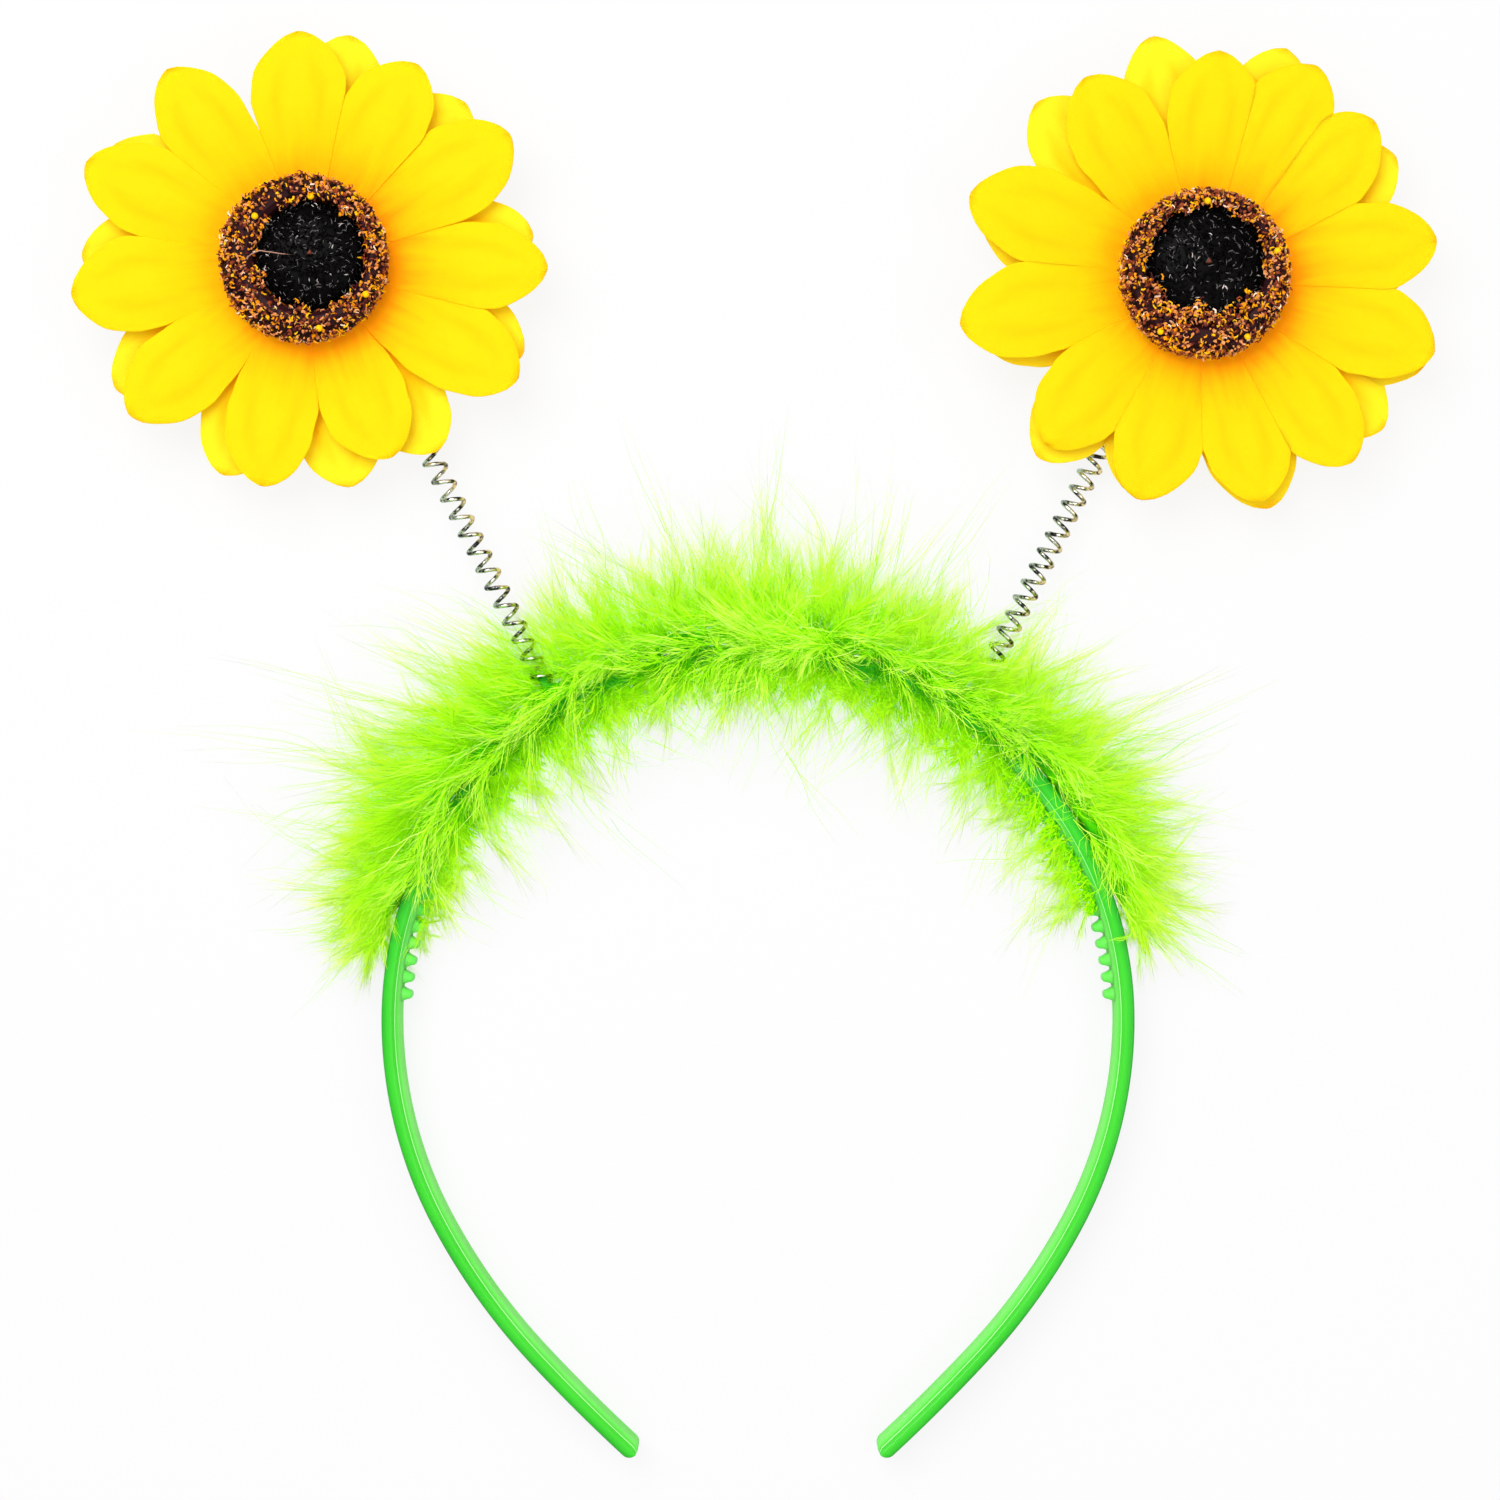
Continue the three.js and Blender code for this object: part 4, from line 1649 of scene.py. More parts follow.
    def add_curls(self, shape: Shape, draw: np.random.Generator) -> None:
        """Set curled shreds on the crumbs.

        Args:
            shape: The piece that they join.
            draw: Where their differences come from.
        """
        count = self.flower.curls
        seat, out = self.strewn(draw, count)
        first = unit(out + draw.normal(0, self.curl_tilt, (count, 3)))
        aside = unit(np.cross(first, draw.normal(0, 1, (count, 3))))
        radius = draw.uniform(*self.curl_radius, count)
        paths = curled(seat, first, aside, radius, self.curl_turn, self.curl_knots)
        taper = np.linspace(*self.curl_taper, self.curl_knots)
        width = draw.uniform(*self.curl_width, count)[:, None] * taper
        tint = np.repeat(draw.uniform(*self.curl_tint, (count, 1)), self.curl_knots, axis=1)
        add_strands(shape, paths, width, np.cross(first, aside), tint)

    def add_grain(self, shape: Shape, x: float, y: float) -> None:
        """Set one round yellow grain in the ring.

        Args:
            shape: The piece that it joins.
            x: Its place from the flower's middle.
            y: The same, towards the crown's top.
        """
        away = math.hypot(x - self.flower.dome_x / 2, y - self.flower.dome_y / 2)
        # The rows of the crown, from the hole outwards
        crown = np.array(self.section)[:3:-1]
        up = np.interp((away - self.inner) / (self.outer - self.inner), crown[:, 0], crown[:, 1])
        lift = np.linspace(self.grain_pole, math.pi - self.grain_pole, self.grain_rows)[:, None]
        turn = round_turns(self.grain_sides)
        ball = np.broadcast_arrays(np.sin(lift) * np.cos(turn), np.sin(lift) * np.sin(turn), np.cos(lift))
        points = self.flower.centre + (x, y, self.seat + up) + self.grain * np.stack(ball, axis=-1)
        shape.add(points, tube_faces(self.grain_rows, self.grain_sides), tint=self.grain_tint)


@dataclass
class DarkCentre:
    """The black bristly dome in a flower's middle."""

    flower: Flower
    seat: float
    sides: int = 48
    # The dome's half section, by share of its radius and how high over its seat
    section: tuple[Pair, ...] = ((1.0, 0.2), (1.0, 3.4), (0.86, 5.2), (0.5, 6.1), (0.1, 6.4))
    bristles: int = 1500
    bristle_sunk: float = 0.2
    bristle_stray: float = 0.5
    # How far bristles stand up in the middle, and how much less at the edge
    upright: float = 1.4
    splay: float = 0.8
    curl_turn: float = 2.3
    curl_knots: int = 4
    curl_radius: Pair = (0.42, 0.75)
    curl_width: Pair = (0.28, 0.42)
    curl_taper: Pair = (1.0, 0.5)
    dull_tint: float = 0.3
    dull_power: int = 4
    # Painted glints: some bristles grey and a few whitish, which stand for light caught on them
    glint_share: float = 0.18
    glint_tint: float = 0.43
    glint_width: float = 0.55
    white_glint_share: float = 0.014
    white_glint_tint: Pair = (0.93, 1.0)
    white_glint_width: float = 0.8
    seed_step: int = 5
    # A brown stub in the dome's middle and a loose thread on the left flower: place, height and width
    stub: tuple[tuple[float, float, float, float], ...] = (
        (0.0, 0.0, 6.2, 1.0), (0.1, 0.1, 7.0, 1.1), (0.25, 0.1, 7.5, 0.9), (0.3, 0.05, 7.7, 0.0),
    )
    stub_tint: float = 0.52
    thread: tuple[tuple[float, float, float, float], ...] = (
        (-9.7, -0.7, 6.6, 0.2), (-8.3, 0.3, 7.6, 0.22), (-6.9, 0.8, 8.1, 0.24),
        (-5.0, 0.5, 8.3, 0.2), (-3.0, 0.2, 8.4, 0.18), (-1.2, 0.05, 8.1, 0.0),
    )
    thread_tint: float = 0.74

    @property
    def centre(self) -> Array:
        """The middle of the dome's seat."""
        return self.flower.centre + (self.flower.dome_x, self.flower.dome_y, self.seat)

    def build(self, material: bpy.types.Material) -> None:
        """Make the dome, its bristles and what lies on it.

        Args:
            material: The bristles' finish.
        """
        shape = Shape()
        section = np.array(self.section)
        turn = round_turns(self.sides)
        radius = self.flower.dome_radius * section[:, 0, None]
        dome = np.stack(
            np.broadcast_arrays(radius * np.cos(turn), radius * np.sin(turn), section[:, 1, None]), axis=-1
        )
        shape.add(self.centre + dome, tube_faces(len(section), self.sides), tint=0.0)
        self.add_bristles(shape)
        self.add_loose(shape, self.centre, self.stub, (1.0, 0.0, 0.0), self.stub_tint)
        if self.flower.side == "left":
            start = self.flower.centre + (0, 0, self.seat)
            self.add_loose(shape, start, self.thread, (0.0, 0.0, 1.0), self.thread_tint)
        side = self.flower.side
        dress(shape.build(f"bristles_{side}"), material, Slot.BRISTLE, f"dark_centre_{side}")

    def add_bristles(self, shape: Shape) -> None:
        """Stand short curled bristles on the dome, some with grey painted glints and a few with whitish
        ones.

        Args:
            shape: The piece that they join.
        """
        draw = np.random.default_rng(self.flower.seed + self.seed_step)
        count = self.bristles
        radius = np.sqrt(draw.uniform(0, 1, count))
        turn = draw.uniform(0, FULL_TURN, count)
        section = np.array(self.section)[1:]
        up = np.interp(radius, section[::-1, 0], section[::-1, 1]) - self.bristle_sunk
        reach = self.flower.dome_radius * radius
        roots = self.centre + np.stack([reach * np.cos(turn), reach * np.sin(turn), up], axis=-1)
        stand = self.upright - self.splay * radius
        out = np.stack([np.cos(turn) * radius, np.sin(turn) * radius, stand], axis=-1)
        first = unit(unit(out) + draw.normal(0, self.bristle_stray, (count, 3)))
        aside = unit(np.cross(first, draw.normal(0, 1, (count, 3))))
        bend = draw.uniform(*self.curl_radius, count)
        paths = curled(roots, first, aside, bend, self.curl_turn, self.curl_knots)
        taper = np.linspace(*self.curl_taper, self.curl_knots)
        widths = draw.uniform(*self.curl_width, count)[:, None] * taper
        # Painted glints: some bristles grey, a few whitish
        white_glint = draw.uniform(0, 1, count) < self.white_glint_share
        shade = draw.uniform(0, 1, count)
        glint = shade > 1 - self.glint_share
        slim = np.where(white_glint, self.white_glint_width, np.where(glint, self.glint_width, 1.0))
        tint = np.where(glint, self.glint_tint, self.dull_tint * shade**self.dull_power)
        tint = np.where(white_glint, draw.uniform(*self.white_glint_tint, count), tint)
        tint = np.repeat(tint[:, None], self.curl_knots, axis=1)
        add_strands(shape, paths, slim[:, None] * widths, np.cross(first, aside), tint)

    @staticmethod
    def add_loose(
        shape: Shape,
        start: Array,
        rows: tuple[tuple[float, float, float, float], ...],
        facing: tuple[float, float, float],
        tint: float,
    ) -> None:
        """Lay one loose strand on the dome.

        Args:
            shape: The piece that it joins.
            start: What its places are measured from.
            rows: Its places and widths from its root to its tip.
            facing: A direction that it never runs along.
            tint: What it carries for the finish's colour.
        """
        table = np.array(rows)
        path = start + table[None, :, :3]
        add_strands(shape, path, table[None, :, 3], np.array([facing]), np.full((1, len(rows)), tint))


@dataclass(frozen=True)
class Hairs:
    """Hairs of one kind on a plume: how many, their width, and their tint from its root to its tip."""

    count: int
    width: float
    tint: Pair


@dataclass(frozen=True)
class Growth:
    """How hairs grow: points on each, the angles that they leave a shaft at, and their lengths.

    The angles are in degrees, at the shaft's root and at its tip, and lengths are shares of the plume's.
    """

    knots: int
    spread: Pair
    lengths: Pair


@dataclass(frozen=True)
class Comb:
    """How plumes are combed along the band: a lean of all, and one away from the crest on either side.

    The second turns over within some degrees of the crest.
    """

    lean: float = 0.0
    sweep: float = 0.0
    turnover: float = 12.0


OUT_COMB = Comb(sweep=0.95, turnover=75)
WISP_COMB = Comb(sweep=1.1, turnover=75)
IN_COMB = Comb(sweep=0.6, turnover=60)
BED_COMB = Comb(sweep=0.6)


@dataclass(frozen=True)
class Batch:
    """Plumes of one kind: how many, where they grow on the strip, how they lie and what they carry.

    Turns are degrees from the top of the crown, and a roll is degrees from straight out, by way of straight
    up at 90, to straight in. Roots are so far out from the band's middle line and up from the surface.
    Reach is a share of the trim's own, and gather tells how far hairs close in on the plume's middle line.
    """

    name: str
    count: int
    turns: Pair
    roll: Pair
    out: Pair
    up: Pair
    reach: Pair
    stray: float
    comb: Comb = Comb()
    inward: bool = False
    over_band: bool = False
    barbs: Hairs | None = None
    down: Hairs | None = None
    gather: float = 0.0


@dataclass
class Plumes:
    """A batch of plumes: the root, first direction, bend, flat side and length of each shaft."""

    root: Array
    first: Array
    bend: Array
    side: Array
    length: Array
    shaft_share: float = 0.55
    lowest_hair: float = 0.04
    spot_stray: float = 0.02
    angle_stray: float = 7.0
    leave_stray: float = 0.6
    tip_spread: float = 0.35
    droop: float = 0.12
    sway: float = 0.26
    sway_rate: float = 6.0

    def along(self, share: Array) -> Array:
        """Find points on the shafts.

        Args:
            share: How far along each shaft, from 0 to 1, a row for each plume.

        Returns:
            The points.
        """
        run = share[..., None] * self.first[:, None] + (share**2)[..., None] * self.bend[:, None]
        return self.root[:, None] + (self.shaft_share * self.length)[:, None, None] * run

    def hairs(
        self,
        draw: np.random.Generator,
        each: int,
        growth: Growth,
        stray: float,
        gather: float,
    ) -> tuple[Array, Array]:
        """Grow hairs on both sides of the shafts, which leave them at an angle and bend towards their tips.

        Args:
            draw: Where the hairs' differences come from.
            each: Hairs on each plume.
            growth: How they grow.
            stray: How far they stray from their course.
            gather: How far their tips close in on the plume's middle line, from 0 to 1.

        Returns:
            The hairs' paths, and how far along its shaft each one starts.
        """
        size = len(self.length), each
        spot = np.linspace(self.lowest_hair, 1, each) + draw.normal(0, self.spot_stray, size)
        run = unit(self.first[:, None] + 2 * spot[..., None] * self.bend[:, None])
        wide, narrow = growth.spread
        angle = np.radians(wide + (narrow - wide) * spot + draw.normal(0, self.angle_stray, size))
        hand = np.where(np.arange(each) % 2 == 0, 1.0, -1.0)
        aside = (hand * np.sin(angle))[..., None] * self.side[:, None]
        leave = np.cos(angle)[..., None] * run + aside
        leave = unit(leave + draw.normal(0, self.leave_stray * stray, (*size, 3)))
        arrive = run + self.tip_spread * aside + draw.normal(0, stray, (*size, 3))
        arrive = unit(arrive - (0, 0, self.droop))
        part = draw.uniform(*growth.lengths, size)
        share = np.linspace(0, 1, growth.knots)
        late = (share**2 / 2)[:, None]
        course = (share[:, None] - late) * leave[:, :, None] + late * arrive[:, :, None]
        sway = np.sin(self.sway_rate * share + draw.uniform(0, FULL_TURN, (*size, 1)))
        sway = self.sway * stray * share * sway
        course = course + sway[..., None] * unit(draw.normal(0, 1, (*size, 1, 3)))
        length = self.length[:, None] * part
        paths = self.along(spot)[:, :, None] + length[..., None, None] * course
        ahead = spot[..., None] + part[..., None] / self.shaft_share * share
        middle = self.along(ahead.reshape(size[0], -1)).reshape(paths.shape)
        paths = paths + gather * (share**2)[:, None] * (middle - paths)
        return paths.reshape(-1, growth.knots, 3), spot.reshape(-1)


@dataclass
class FeatherTrim:
    """The feather strip on the crown: a cord against the band's outer face, with plumes growing from it."""

    line: BandLine
    turns: Pair = (-75.0, 73.5)
    crest: float = 5.0
    seed: int = 41
    # The cord: its place, half its size, its rounded ends, its lumps by height and rate, and its strands
    cord_out: float = 3.2
    cord_up: float = 5.0
    cord_half_out: float = 1.5
    cord_half_up: float = 3.2
    cord_end: float = 3.0
    cord_least: float = 0.02
    cord_lumps: tuple[Pair, ...] = ((0.1, 1.9), (0.07, 5.3))
    cord_strands: int = 3
    cord_twist: float = 0.9
    cord_ridge: Pair = (0.18, 0.25)
    cord_tint: float = 0.08
    cord_stations: int = 220
    cord_sides: int = 14
    # Shafts: their least bend and how it grows with their stray, their sag, and how their flat side faces
    bend: Pair = (0.1, 0.35)
    sag: float = 0.1
    face_out: float = 0.6
    face_stray: float = 0.5
    shaft_width: float = 1.6
    shaft_rise: float = 0.6
    # Hairs: stiff barbs, which stray with their plume, and fine down
    barb_growth: Growth = Growth(5, (48, 7), (0.38, 0.58))
    barb_stray: Pair = (0.14, 0.5)
    barb_rise: float = 0.5
    down_growth: Growth = Growth(3, (70, 12), (0.26, 0.6))
    down_stray: float = 0.45
    hair_width: Pair = (0.7, 1.25)
    hair_taper: float = 0.7
    tone: float = 0.09
    # Where hairs lie: over the surface, under a soft ceiling and over the band's front, which they ease into
    floor: float = 0.25
    ceiling: float = 24.0
    above_ceiling: float = 0.25
    softness: float = 3.0
    band_front: float = 8.4
    band_inwards: float = 1.0
    band_room: float = 3.8
    band_ease: float = 5.0
    # How wide the parting at the springs is, how far it runs along them, and how low hairs are tucked there
    parting: float = 2.0
    parting_to: float = 24.0
    parting_clear: float = 0.5
    tuck_height: float = 1.5
    # Turn from the top of the crown, and how far the feathers reach outwards and inwards
    reach: tuple[tuple[float, float, float], ...] = (
        (-84, 9, 5), (-72, 16, 8), (-55, 25.5, 12), (-35, 23, 14.5), (-18, 21, 14), (0, 22.5, 14),
        (30, 20.5, 15), (55, 22.5, 12.5), (70, 15.5, 9.5), (84, 6, 5),
    )
    batches: tuple[Batch, ...] = (
        Batch("down_left", 345, (-77.5, 0), (-14, 62), (2.4, 5.6), (1.5, 8.5), (0.38, 1.0), 0.34, OUT_COMB,
              down=Hairs(75, 0.1, (0.31, 0.94)), gather=0.3),
        Batch("down_right", 340, (0, 74), (-14, 62), (2.4, 5.6), (1.5, 8.5), (0.34, 0.96), 0.34, OUT_COMB,
              down=Hairs(75, 0.094, (0.34, 1.05)), gather=0.3),
        Batch("outer", 180, (-78, 75), (-14, 60), (2.6, 4.6), (2.5, 8.5), (0.66, 1.12), 0.26, OUT_COMB,
              barbs=Hairs(13, 0.11, (0.42, 0.74)), down=Hairs(46, 0.075, (0.34, 0.95)), gather=0.6),
        Batch("wisps", 62, (-79, 28), (-10, 45), (3.0, 5.0), (3.0, 8.5), (1.05, 1.46), 0.3, WISP_COMB,
              barbs=Hairs(12, 0.1, (0.34, 0.58)), gather=0.65),
        Batch("wisps_right", 28, (28, 76), (-10, 45), (3.0, 5.0), (3.0, 8.5), (0.95, 1.25), 0.3, WISP_COMB,
              barbs=Hairs(12, 0.1, (0.34, 0.58)), gather=0.65),
        Batch("under", 260, (-76, 74), (-10, 40), (2.4, 5.2), (1.0, 4.5), (0.2, 0.4), 0.35, OUT_COMB,
              down=Hairs(10, 0.6, (0.25, 0.6))),
        Batch("under_inner", 300, (-66, 72), (160, 195), (-1.9, -1.2), (6.7, 7.7), (0.25, 0.5), 0.4, IN_COMB,
              inward=True, down=Hairs(12, 0.6, (0.3, 0.64))),
        Batch("gaps_right", 60, (42, 72), (172, 196), (-1.5, -1.1), (2.0, 5.5), (0.15, 0.3), 0.35, IN_COMB,
              inward=True, down=Hairs(12, 0.8, (0.25, 0.6))),
        Batch("gaps_left", 30, (-74, -60), (172, 196), (-1.5, -1.1), (2.0, 5.5), (0.2, 0.4), 0.35, IN_COMB,
              inward=True, down=Hairs(12, 0.7, (0.3, 0.7))),
        Batch("end_left", 34, (-78, -71), (-10, 70), (1.7, 4.0), (2.0, 8.6), (0.4, 0.8), 0.7, Comb(-1.8),
              barbs=Hairs(8, 0.11, (0.5, 0.9)), down=Hairs(60, 0.09, (0.4, 1.0)), gather=0.4),
        Batch("end_right", 30, (70, 76.5), (-10, 70), (1.7, 4.0), (2.0, 8.6), (0.4, 0.9), 0.6, Comb(2.0),
              barbs=Hairs(8, 0.11, (0.5, 0.9)), down=Hairs(60, 0.09, (0.4, 1.0)), gather=0.4),
        Batch("drape", 14, (-73, -63), (-5, 50), (0.8, 3.6), (8.7, 9.8), (0.45, 0.8), 0.35, Comb(-1.3),
              over_band=True, barbs=Hairs(12, 0.11, (0.5, 0.95)), down=Hairs(80, 0.09, (0.4, 1.0)),
              gather=0.4),
        Batch("under_end", 28, (-76, -64), (150, 190), (-2.2, -1.7), (0.6, 1.6), (0.5, 1.0), 0.5, IN_COMB,
              inward=True, down=Hairs(60, 0.1, (0.4, 0.95)), gather=0.4),
        Batch("mat", 64, (-40, 40), (60, 120), (-2.4, 2.6), (8.2, 8.7), (0.22, 0.36), 2.4,
              over_band=True, down=Hairs(40, 0.12, (0.16, 0.8))),
        Batch("bed", 234, (-61, 43), (10, 170), (-3.4, 6.2), (4.5, 8.8), (0.2, 0.36), 1.0, BED_COMB,
              over_band=True, down=Hairs(52, 0.11, (0.1, 0.8))),
        Batch("bed_right", 50, (43, 71), (10, 100), (2.4, 7.2), (4.5, 8.8), (0.2, 0.36), 1.0, BED_COMB,
              over_band=True, down=Hairs(52, 0.11, (0.1, 0.8))),
        Batch("front", 104, (-65, 43), (10, 170), (-0.8, 5.4), (8.6, 10.2), (0.4, 0.75), 0.5,
              Comb(sweep=1.7), over_band=True, barbs=Hairs(34, 0.13, (0.3, 0.86)),
              down=Hairs(52, 0.085, (0.1, 0.8)), gather=0.3),
        Batch("front_right", 16, (43, 73), (10, 110), (1.8, 5.4), (8.6, 10.0), (0.5, 0.95), 0.5,
              Comb(sweep=2.2), over_band=True, barbs=Hairs(34, 0.13, (0.4, 0.9)),
              down=Hairs(60, 0.08, (0.3, 0.9)), gather=0.3),
        Batch("crest", 22, (1, 12), (15, 170), (0.5, 4.6), (9.4, 11.2), (0.55, 0.95), 0.4, Comb(-1.5),
              over_band=True, barbs=Hairs(38, 0.14, (0.45, 0.92)), down=Hairs(90, 0.08, (0.3, 0.95)),
              gather=0.3),
        Batch("threads", 26, (-66, 68), (50, 120), (-0.5, 4.5), (9.2, 10.6), (0.7, 1.1), 0.5,
              Comb(sweep=2.6, turnover=10), over_band=True, barbs=Hairs(5, 0.14, (0.7, 1.0))),
        Batch("inner_left", 16, (-69, -62), (165, 200), (-3.0, -1.8), (4.5, 7.6), (0.36, 1.1), 0.5, IN_COMB,
              inward=True, down=Hairs(84, 0.102, (0.36, 0.95)), gather=0.3),
        Batch("inner", 246, (-62, 42), (135, 195), (-2.6, 0.8), (6.5, 9.4), (0.36, 1.1), 0.5, IN_COMB,
              inward=True, over_band=True, down=Hairs(84, 0.102, (0.36, 0.95)), gather=0.3),
        Batch("inner_right", 60, (42, 71), (165, 200), (-3.0, -1.8), (4.5, 7.6), (0.36, 1.1), 0.5, IN_COMB,
              inward=True, down=Hairs(84, 0.102, (0.36, 0.95)), gather=0.3),
        Batch("inner_wisps", 86, (-68, 70), (145, 190), (-2.6, 0.0), (8.6, 9.6), (0.9, 1.7), 0.5,
              Comb(sweep=0.7, turnover=60), inward=True, over_band=True,
              barbs=Hairs(10, 0.1, (0.36, 0.62)), gather=0.5),
    )

    def build(self) -> None:
        """Make the cord and its plumes."""
        material = FeatherDown().material()
        dress(self.cord(), material, Slot.FEATHER, "feather_trim")
        draw = np.random.default_rng(self.seed)
        for batch in self.batches:
            shape = Shape()
            self.add_plumes(shape, batch, draw)
            dress(shape.build(f"plumes_{batch.name}"), material, Slot.FEATHER)

    def cord(self) -> bpy.types.Object:
        """Sweep the strip's lumpy cord along the crown.

        Returns:
            The cord.
        """
        turn = np.linspace(*self.turns, self.cord_stations)[:, None]
        around = round_turns(self.cord_sides)
        to_end = np.minimum(turn - self.turns[0], self.turns[1] - turn)
        ends = np.sqrt(np.clip(to_end / self.cord_end, self.cord_least, 1))
        lump = ends * (1 + sum(height * np.sin(rate * turn) for height, rate in self.cord_lumps))
        twist = np.sin(self.cord_strands * around + self.cord_twist * turn)
        ridge_out, ridge_up = self.cord_ridge
        out = self.cord_out + lump * (self.cord_half_out + ridge_out * twist) * np.cos(around)
        up = self.cord_up + lump * (self.cord_half_up + ridge_up * twist) * np.sin(around)
        points = self.line.on_crown(turn, out, np.maximum(up, self.floor))
        shape = Shape()
        tint = self.cord_tint * (1 + twist)
        shape.add(points, tube_faces(self.cord_stations, self.cord_sides), tint=tint.ravel())
        return shape.build("feather_cord")

    def edge(self, turn: Array, inward: bool) -> Array:
        """Read how far the trim reaches at some turns, outwards or inwards."""
        table = np.array(self.reach)
        return smooth_table(turn, table[:, 0], table[:, 2 if inward else 1])

    def grow(self, batch: Batch, draw: np.random.Generator) -> Plumes:
        """Work out the shafts of a batch of plumes.

        Args:
            batch: The kind of plume.
            draw: Where their differences come from.

        Returns:
            The plumes.
        """
        count, comb = batch.count, batch.comb
        low, high = batch.turns
        turn = low + (high - low) * (np.arange(count) + draw.uniform(0, 1, count)) / count
        angle = np.radians(turn)
        out = np.stack([np.sin(angle), np.cos(angle), np.zeros(count)], axis=-1)
        along = np.stack([np.cos(angle), -np.sin(angle), np.zeros(count)], axis=-1)
        rise = np.array([0, 0, 1.0])
        roll = np.radians(draw.uniform(*batch.roll, count))[:, None]
        root_out = draw.uniform(*batch.out, count)
        root_up = draw.uniform(*batch.up, count)
        root = self.line.on_crown(turn, root_out, root_up)
        length = self.edge(turn, batch.inward) * draw.uniform(*batch.reach, count)
        lean = comb.lean + comb.sweep * np.tanh((turn - self.crest) / comb.turnover)
        lean = lean + draw.normal(0, batch.stray, count)
        first = unit(np.cos(roll) * out + np.sin(roll) * rise + lean[:, None] * along)
        least, more = self.bend
        bend = draw.normal(0, least + more * batch.stray, (count, 3)) - self.sag * rise
        face = unit(rise + self.face_out * out + draw.normal(0, self.face_stray, (count, 3)))
        return Plumes(root, first, bend, unit(np.cross(first, face)), length)

    def add_plumes(self, shape: Shape, batch: Batch, draw: np.random.Generator) -> None:
        """Grow one batch of plumes, each a fine shaft with barbs and down along both its sides.

        Args:
            shape: The piece that they join.
            batch: The kind of plume.
            draw: Where their differences come from.
        """
        plumes = self.grow(batch, draw)
        if batch.barbs:
            share = np.linspace(0, 1, self.barb_growth.knots)
            shafts = plumes.along(np.broadcast_to(share, (batch.count, share.size)))
            least, more = self.barb_stray
            stray = least + more * batch.stray
            barbs, spot = plumes.hairs(draw, batch.barbs.count, self.barb_growth, stray, batch.gather)
            paths = np.concatenate([shafts, barbs])
            start = np.concatenate([np.full(batch.count, self.shaft_rise), self.barb_rise * spot])
            scale = np.where(np.arange(len(paths)) < batch.count, self.shaft_width, 1.0)
            rise = np.clip(start[:, None] + share, 0, 1)
            self.add_hairs(shape, batch, batch.barbs, draw, paths, scale, rise, add_strands)
        if batch.down:
            paths, _ = plumes.hairs(draw, batch.down.count, self.down_growth, self.down_stray, batch.gather)
            rise = self.outwards(paths, batch.inward)
            self.add_hairs(shape, batch, batch.down, draw, paths, np.ones(len(paths)), rise, add_slivers)

    def outwards(self, points: Array, inward: bool) -> Array:
        """Tell how far towards the trim's edge points lie, from 0 at the band's wall to 1.

        Args:
            points: The points.
            inward: Whether the inner edge counts.

        Returns:
            Their shares.
        """
        turn = np.degrees(np.arctan2(points[..., 0], points[..., 1]))
        out = np.linalg.norm(points[..., :2], axis=-1) - self.line.crown_radius
        return np.clip((-out if inward else out) / self.edge(turn, inward), 0, 1)

    def add_hairs(
        self,
        shape: Shape,
        batch: Batch,
        hairs: Hairs,
        draw: np.random.Generator,
        paths: Array,
        scale: Array,
        rise: Array,
        add: Callable[[Shape, Array, Array, Array, Array], None],
    ) -> None:
        """Lay, part and colour hairs, and add them.

        Args:
            shape: The piece that they join.
            batch: The kind of plume that they are on.
            hairs: The kind of hair.
            draw: Where their differences come from.
            paths: The hairs.
            scale: How wide each one is for its kind.
            rise: How far up the tint each of their points is.
            add: What makes the hairs.
        """
        share = np.linspace(0, 1, paths.shape[1])
        paths = self.laid(paths, batch.over_band)
        paths, keep = self.parted(paths)
        width = hairs.width * scale * draw.uniform(*self.hair_width, len(paths))
        widths = width[:, None] * (1 - self.hair_taper * share)
        dark, light = hairs.tint
        tone = draw.normal(0, self.tone, (len(paths), 1))
        # Darker towards the roots and the band: painted shade deep in the trim
        tints = np.clip(dark + (light - dark) * rise + tone, 0, 1)
        facing = unit(draw.normal(0, 1, (len(paths), 3)))
        add(shape, paths[keep], widths[keep], facing[keep], tints[keep])

    def laid(self, paths: Array, over_band: bool) -> Array:
        """Lay hairs on the surface, and over the band's front where they cross it.

        Args:
            paths: The hairs.
            over_band: Whether they cross the band.

        Returns:
            The hairs, with the points that were too low or too high brought back.
        """
        low = np.full(paths.shape[:2], self.floor)
        if over_band:
            out = np.linalg.norm(paths[..., :2], axis=-1) - self.line.crown_radius
            away = np.abs(out + self.band_inwards)
            over = 1 - smoothstep(self.band_room, self.band_room + self.band_ease, away)
            low = low + (self.band_front - self.floor) * over
        laid = paths.copy()
        excess = np.maximum(laid[..., 2] - self.ceiling, 0)
        height = laid[..., 2] - (1 - self.above_ceiling) * excess
        laid[..., 2] = low + np.logaddexp(0, self.softness * (height - low)) / self.softness
        return laid

    def parted(self, paths: Array) -> tuple[Array, Array]:
        """Tuck hairs behind the springs, which stay bare.

        Args:
            paths: The hairs.

        Returns:
            The hairs, and whether each one leaves the springs bare.
        """
        tucked = paths.copy()
        keep = np.ones(len(paths), bool)
        for flower in FLOWERS:
            spring = SpringLine.of(flower, self.line)
            near = self.nearness(tucked, spring)
            tucked[..., 2] -= near * np.maximum(tucked[..., 2] - self.tuck_height, 0)
            middles = (tucked[:, 1:] + tucked[:, :-1]) / 2
            across = self.nearness(middles, spring) > self.parting_clear
            keep &= ~(across & (middles[..., 2] > CoilSpring.height)).any(axis=1)
        return tucked, keep

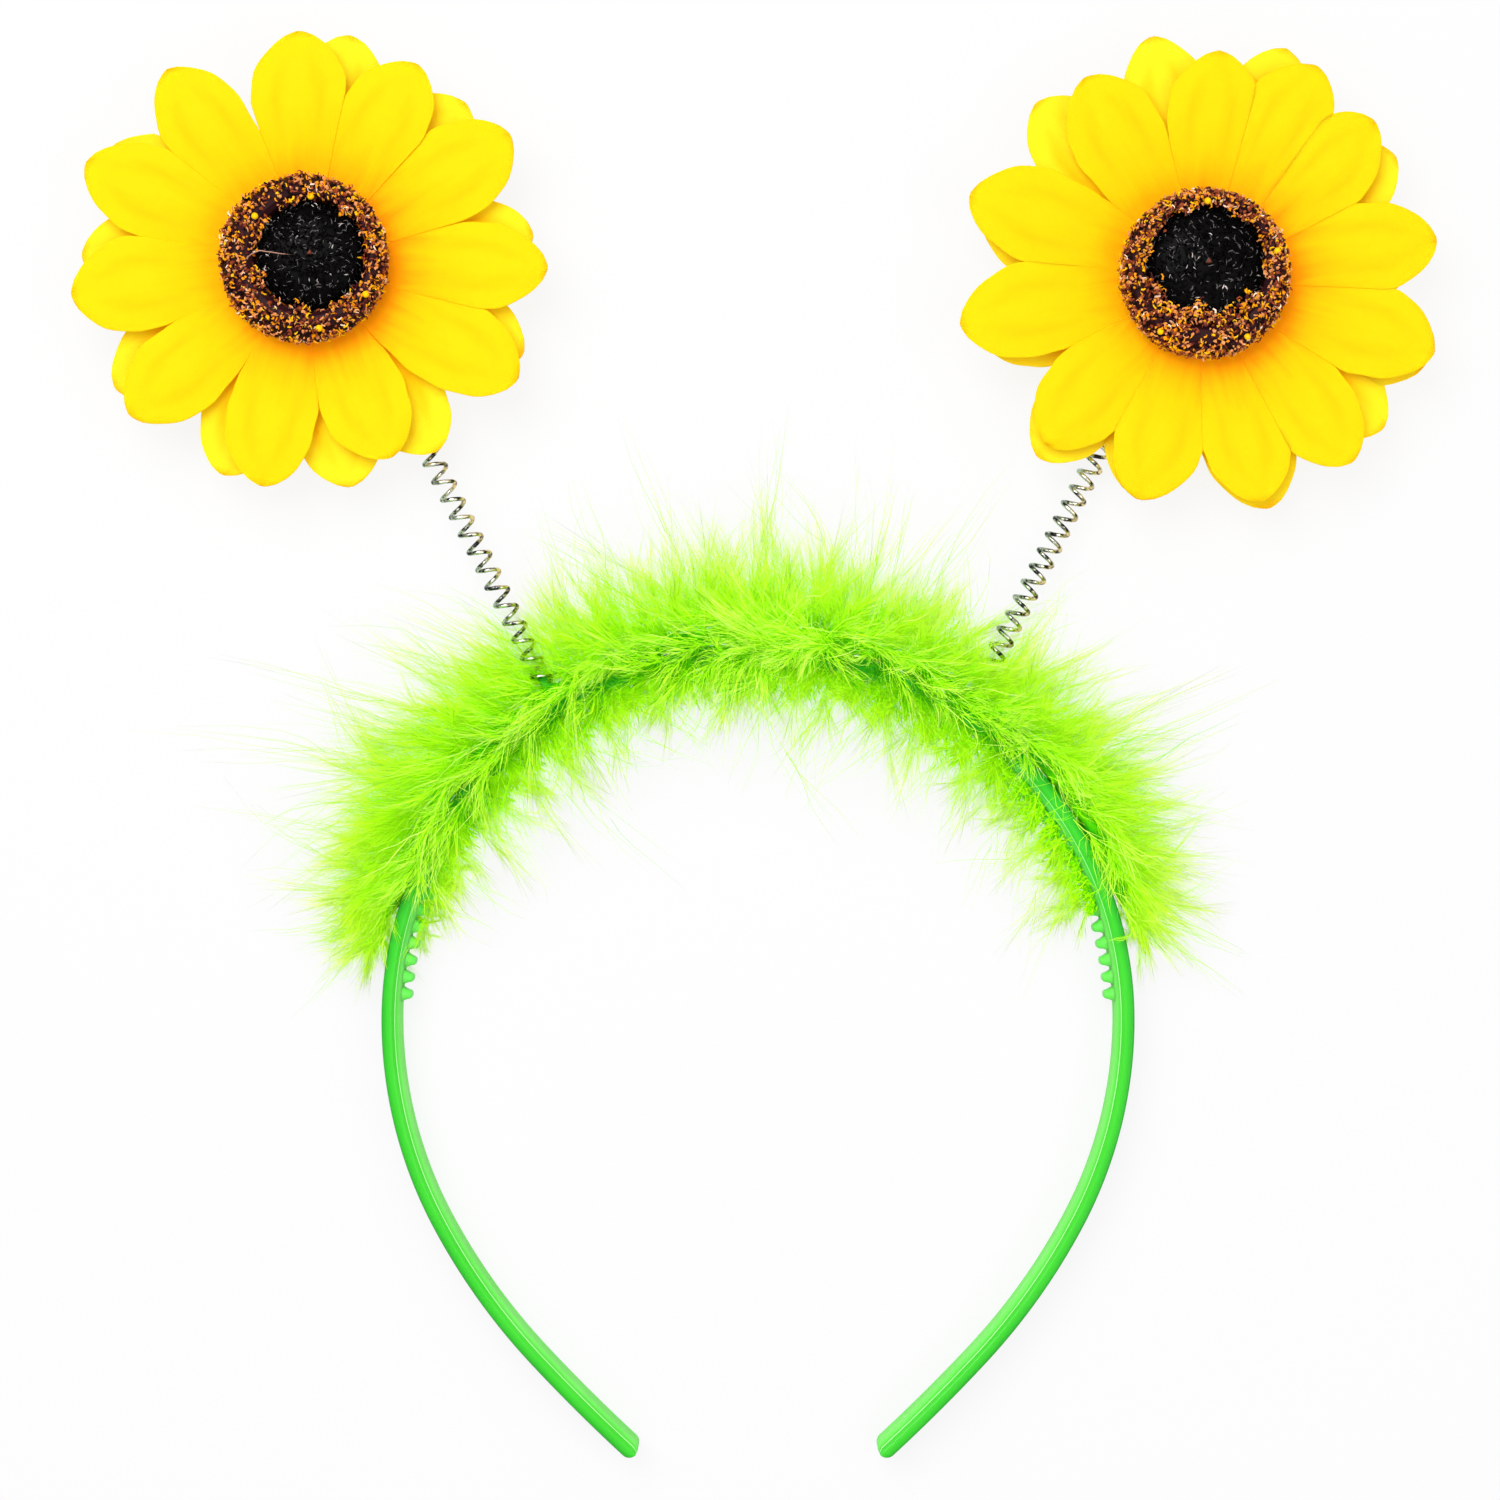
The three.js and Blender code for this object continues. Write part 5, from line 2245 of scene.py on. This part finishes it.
    def nearness(self, points: Array, spring: SpringLine) -> Array:
        """Tell how near points are to a spring where it is bare, from 0 to 1, as seen from the front.

        Args:
            points: The points.
            spring: The spring's line.

        Returns:
            Their nearness.
        """
        away = points - spring.foot
        run = away @ spring.direction
        miss = np.abs(away[..., 0] * spring.direction[1] - away[..., 1] * spring.direction[0])
        bare = (run > spring.bare_from) & (run < self.parting_to)
        return bare * (1 - smoothstep(self.parting / 2, self.parting, miss))


@dataclass
class Sunflower:
    """One flower on its spring, from the felt back to the dark middle."""

    flower: Flower
    line: BandLine
    gap: float = 0.3
    back_rise: float = 1.4
    front_rise: float = 3.0

    def build(self, finishes: dict[Slot, bpy.types.Material]) -> None:
        """Make the flower's pieces from the back to the front.

        Args:
            finishes: The finish for each slot.
        """
        CoilSpring(self.flower, self.line).build(finishes[Slot.STEEL])
        pad = FlowerBack(self.flower, self.line)
        under = pad.build(finishes[Slot.FELT])
        seat = pad.height + self.gap
        rows = (
            (Layer.BACK, Slot.BACK_CLOTH, self.back_rise),
            (Layer.FRONT, Slot.FRONT_CLOTH, self.front_rise),
        )
        for layer, slot, rise in rows:
            petals = PetalLayer(self.flower, layer, seat, rise, slot)
            under = petals.build(finishes[slot], under.name)
            seat += petals.hub_wall + self.gap
        FloretRing(self.flower, seat).build(finishes[Slot.CRUMB])
        DarkCentre(self.flower, seat).build(finishes[Slot.BRISTLE])


def main() -> None:
    """Build the studio and the headband, piece by piece."""
    logging.basicConfig(level=logging.INFO, format="%(message)s")
    Studio().build()
    line = BandLine()
    Headband(line).build()
    FeatherTrim(line).build()
    front = PetalCloth(
        "pressed_petal_cloth_front",
        along=((0.14, "#FA9600"), (0.3, "#EEAC00"), (0.48, "#DABA00"), (0.72, "#D5C003")),
    )
    back = PetalCloth(
        "pressed_petal_cloth_back",
        along=((0.16, "#EA9C00"), (0.39, "#DEB000"), (0.6, "#DAC406"), (0.85, "#DCCE1A")),
    )
    finishes = {
        Slot.STEEL: SpringSteel().material(),
        Slot.FELT: PlainFelt().material(),
        Slot.BACK_CLOTH: back.material(),
        Slot.FRONT_CLOTH: front.material(),
        Slot.CRUMB: FloretCrumb().material(),
        Slot.BRISTLE: DarkBristle().material(),
    }
    for flower in FLOWERS:
        Sunflower(flower, line).build(finishes)
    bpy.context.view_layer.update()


if __name__ == "__main__":
    main()
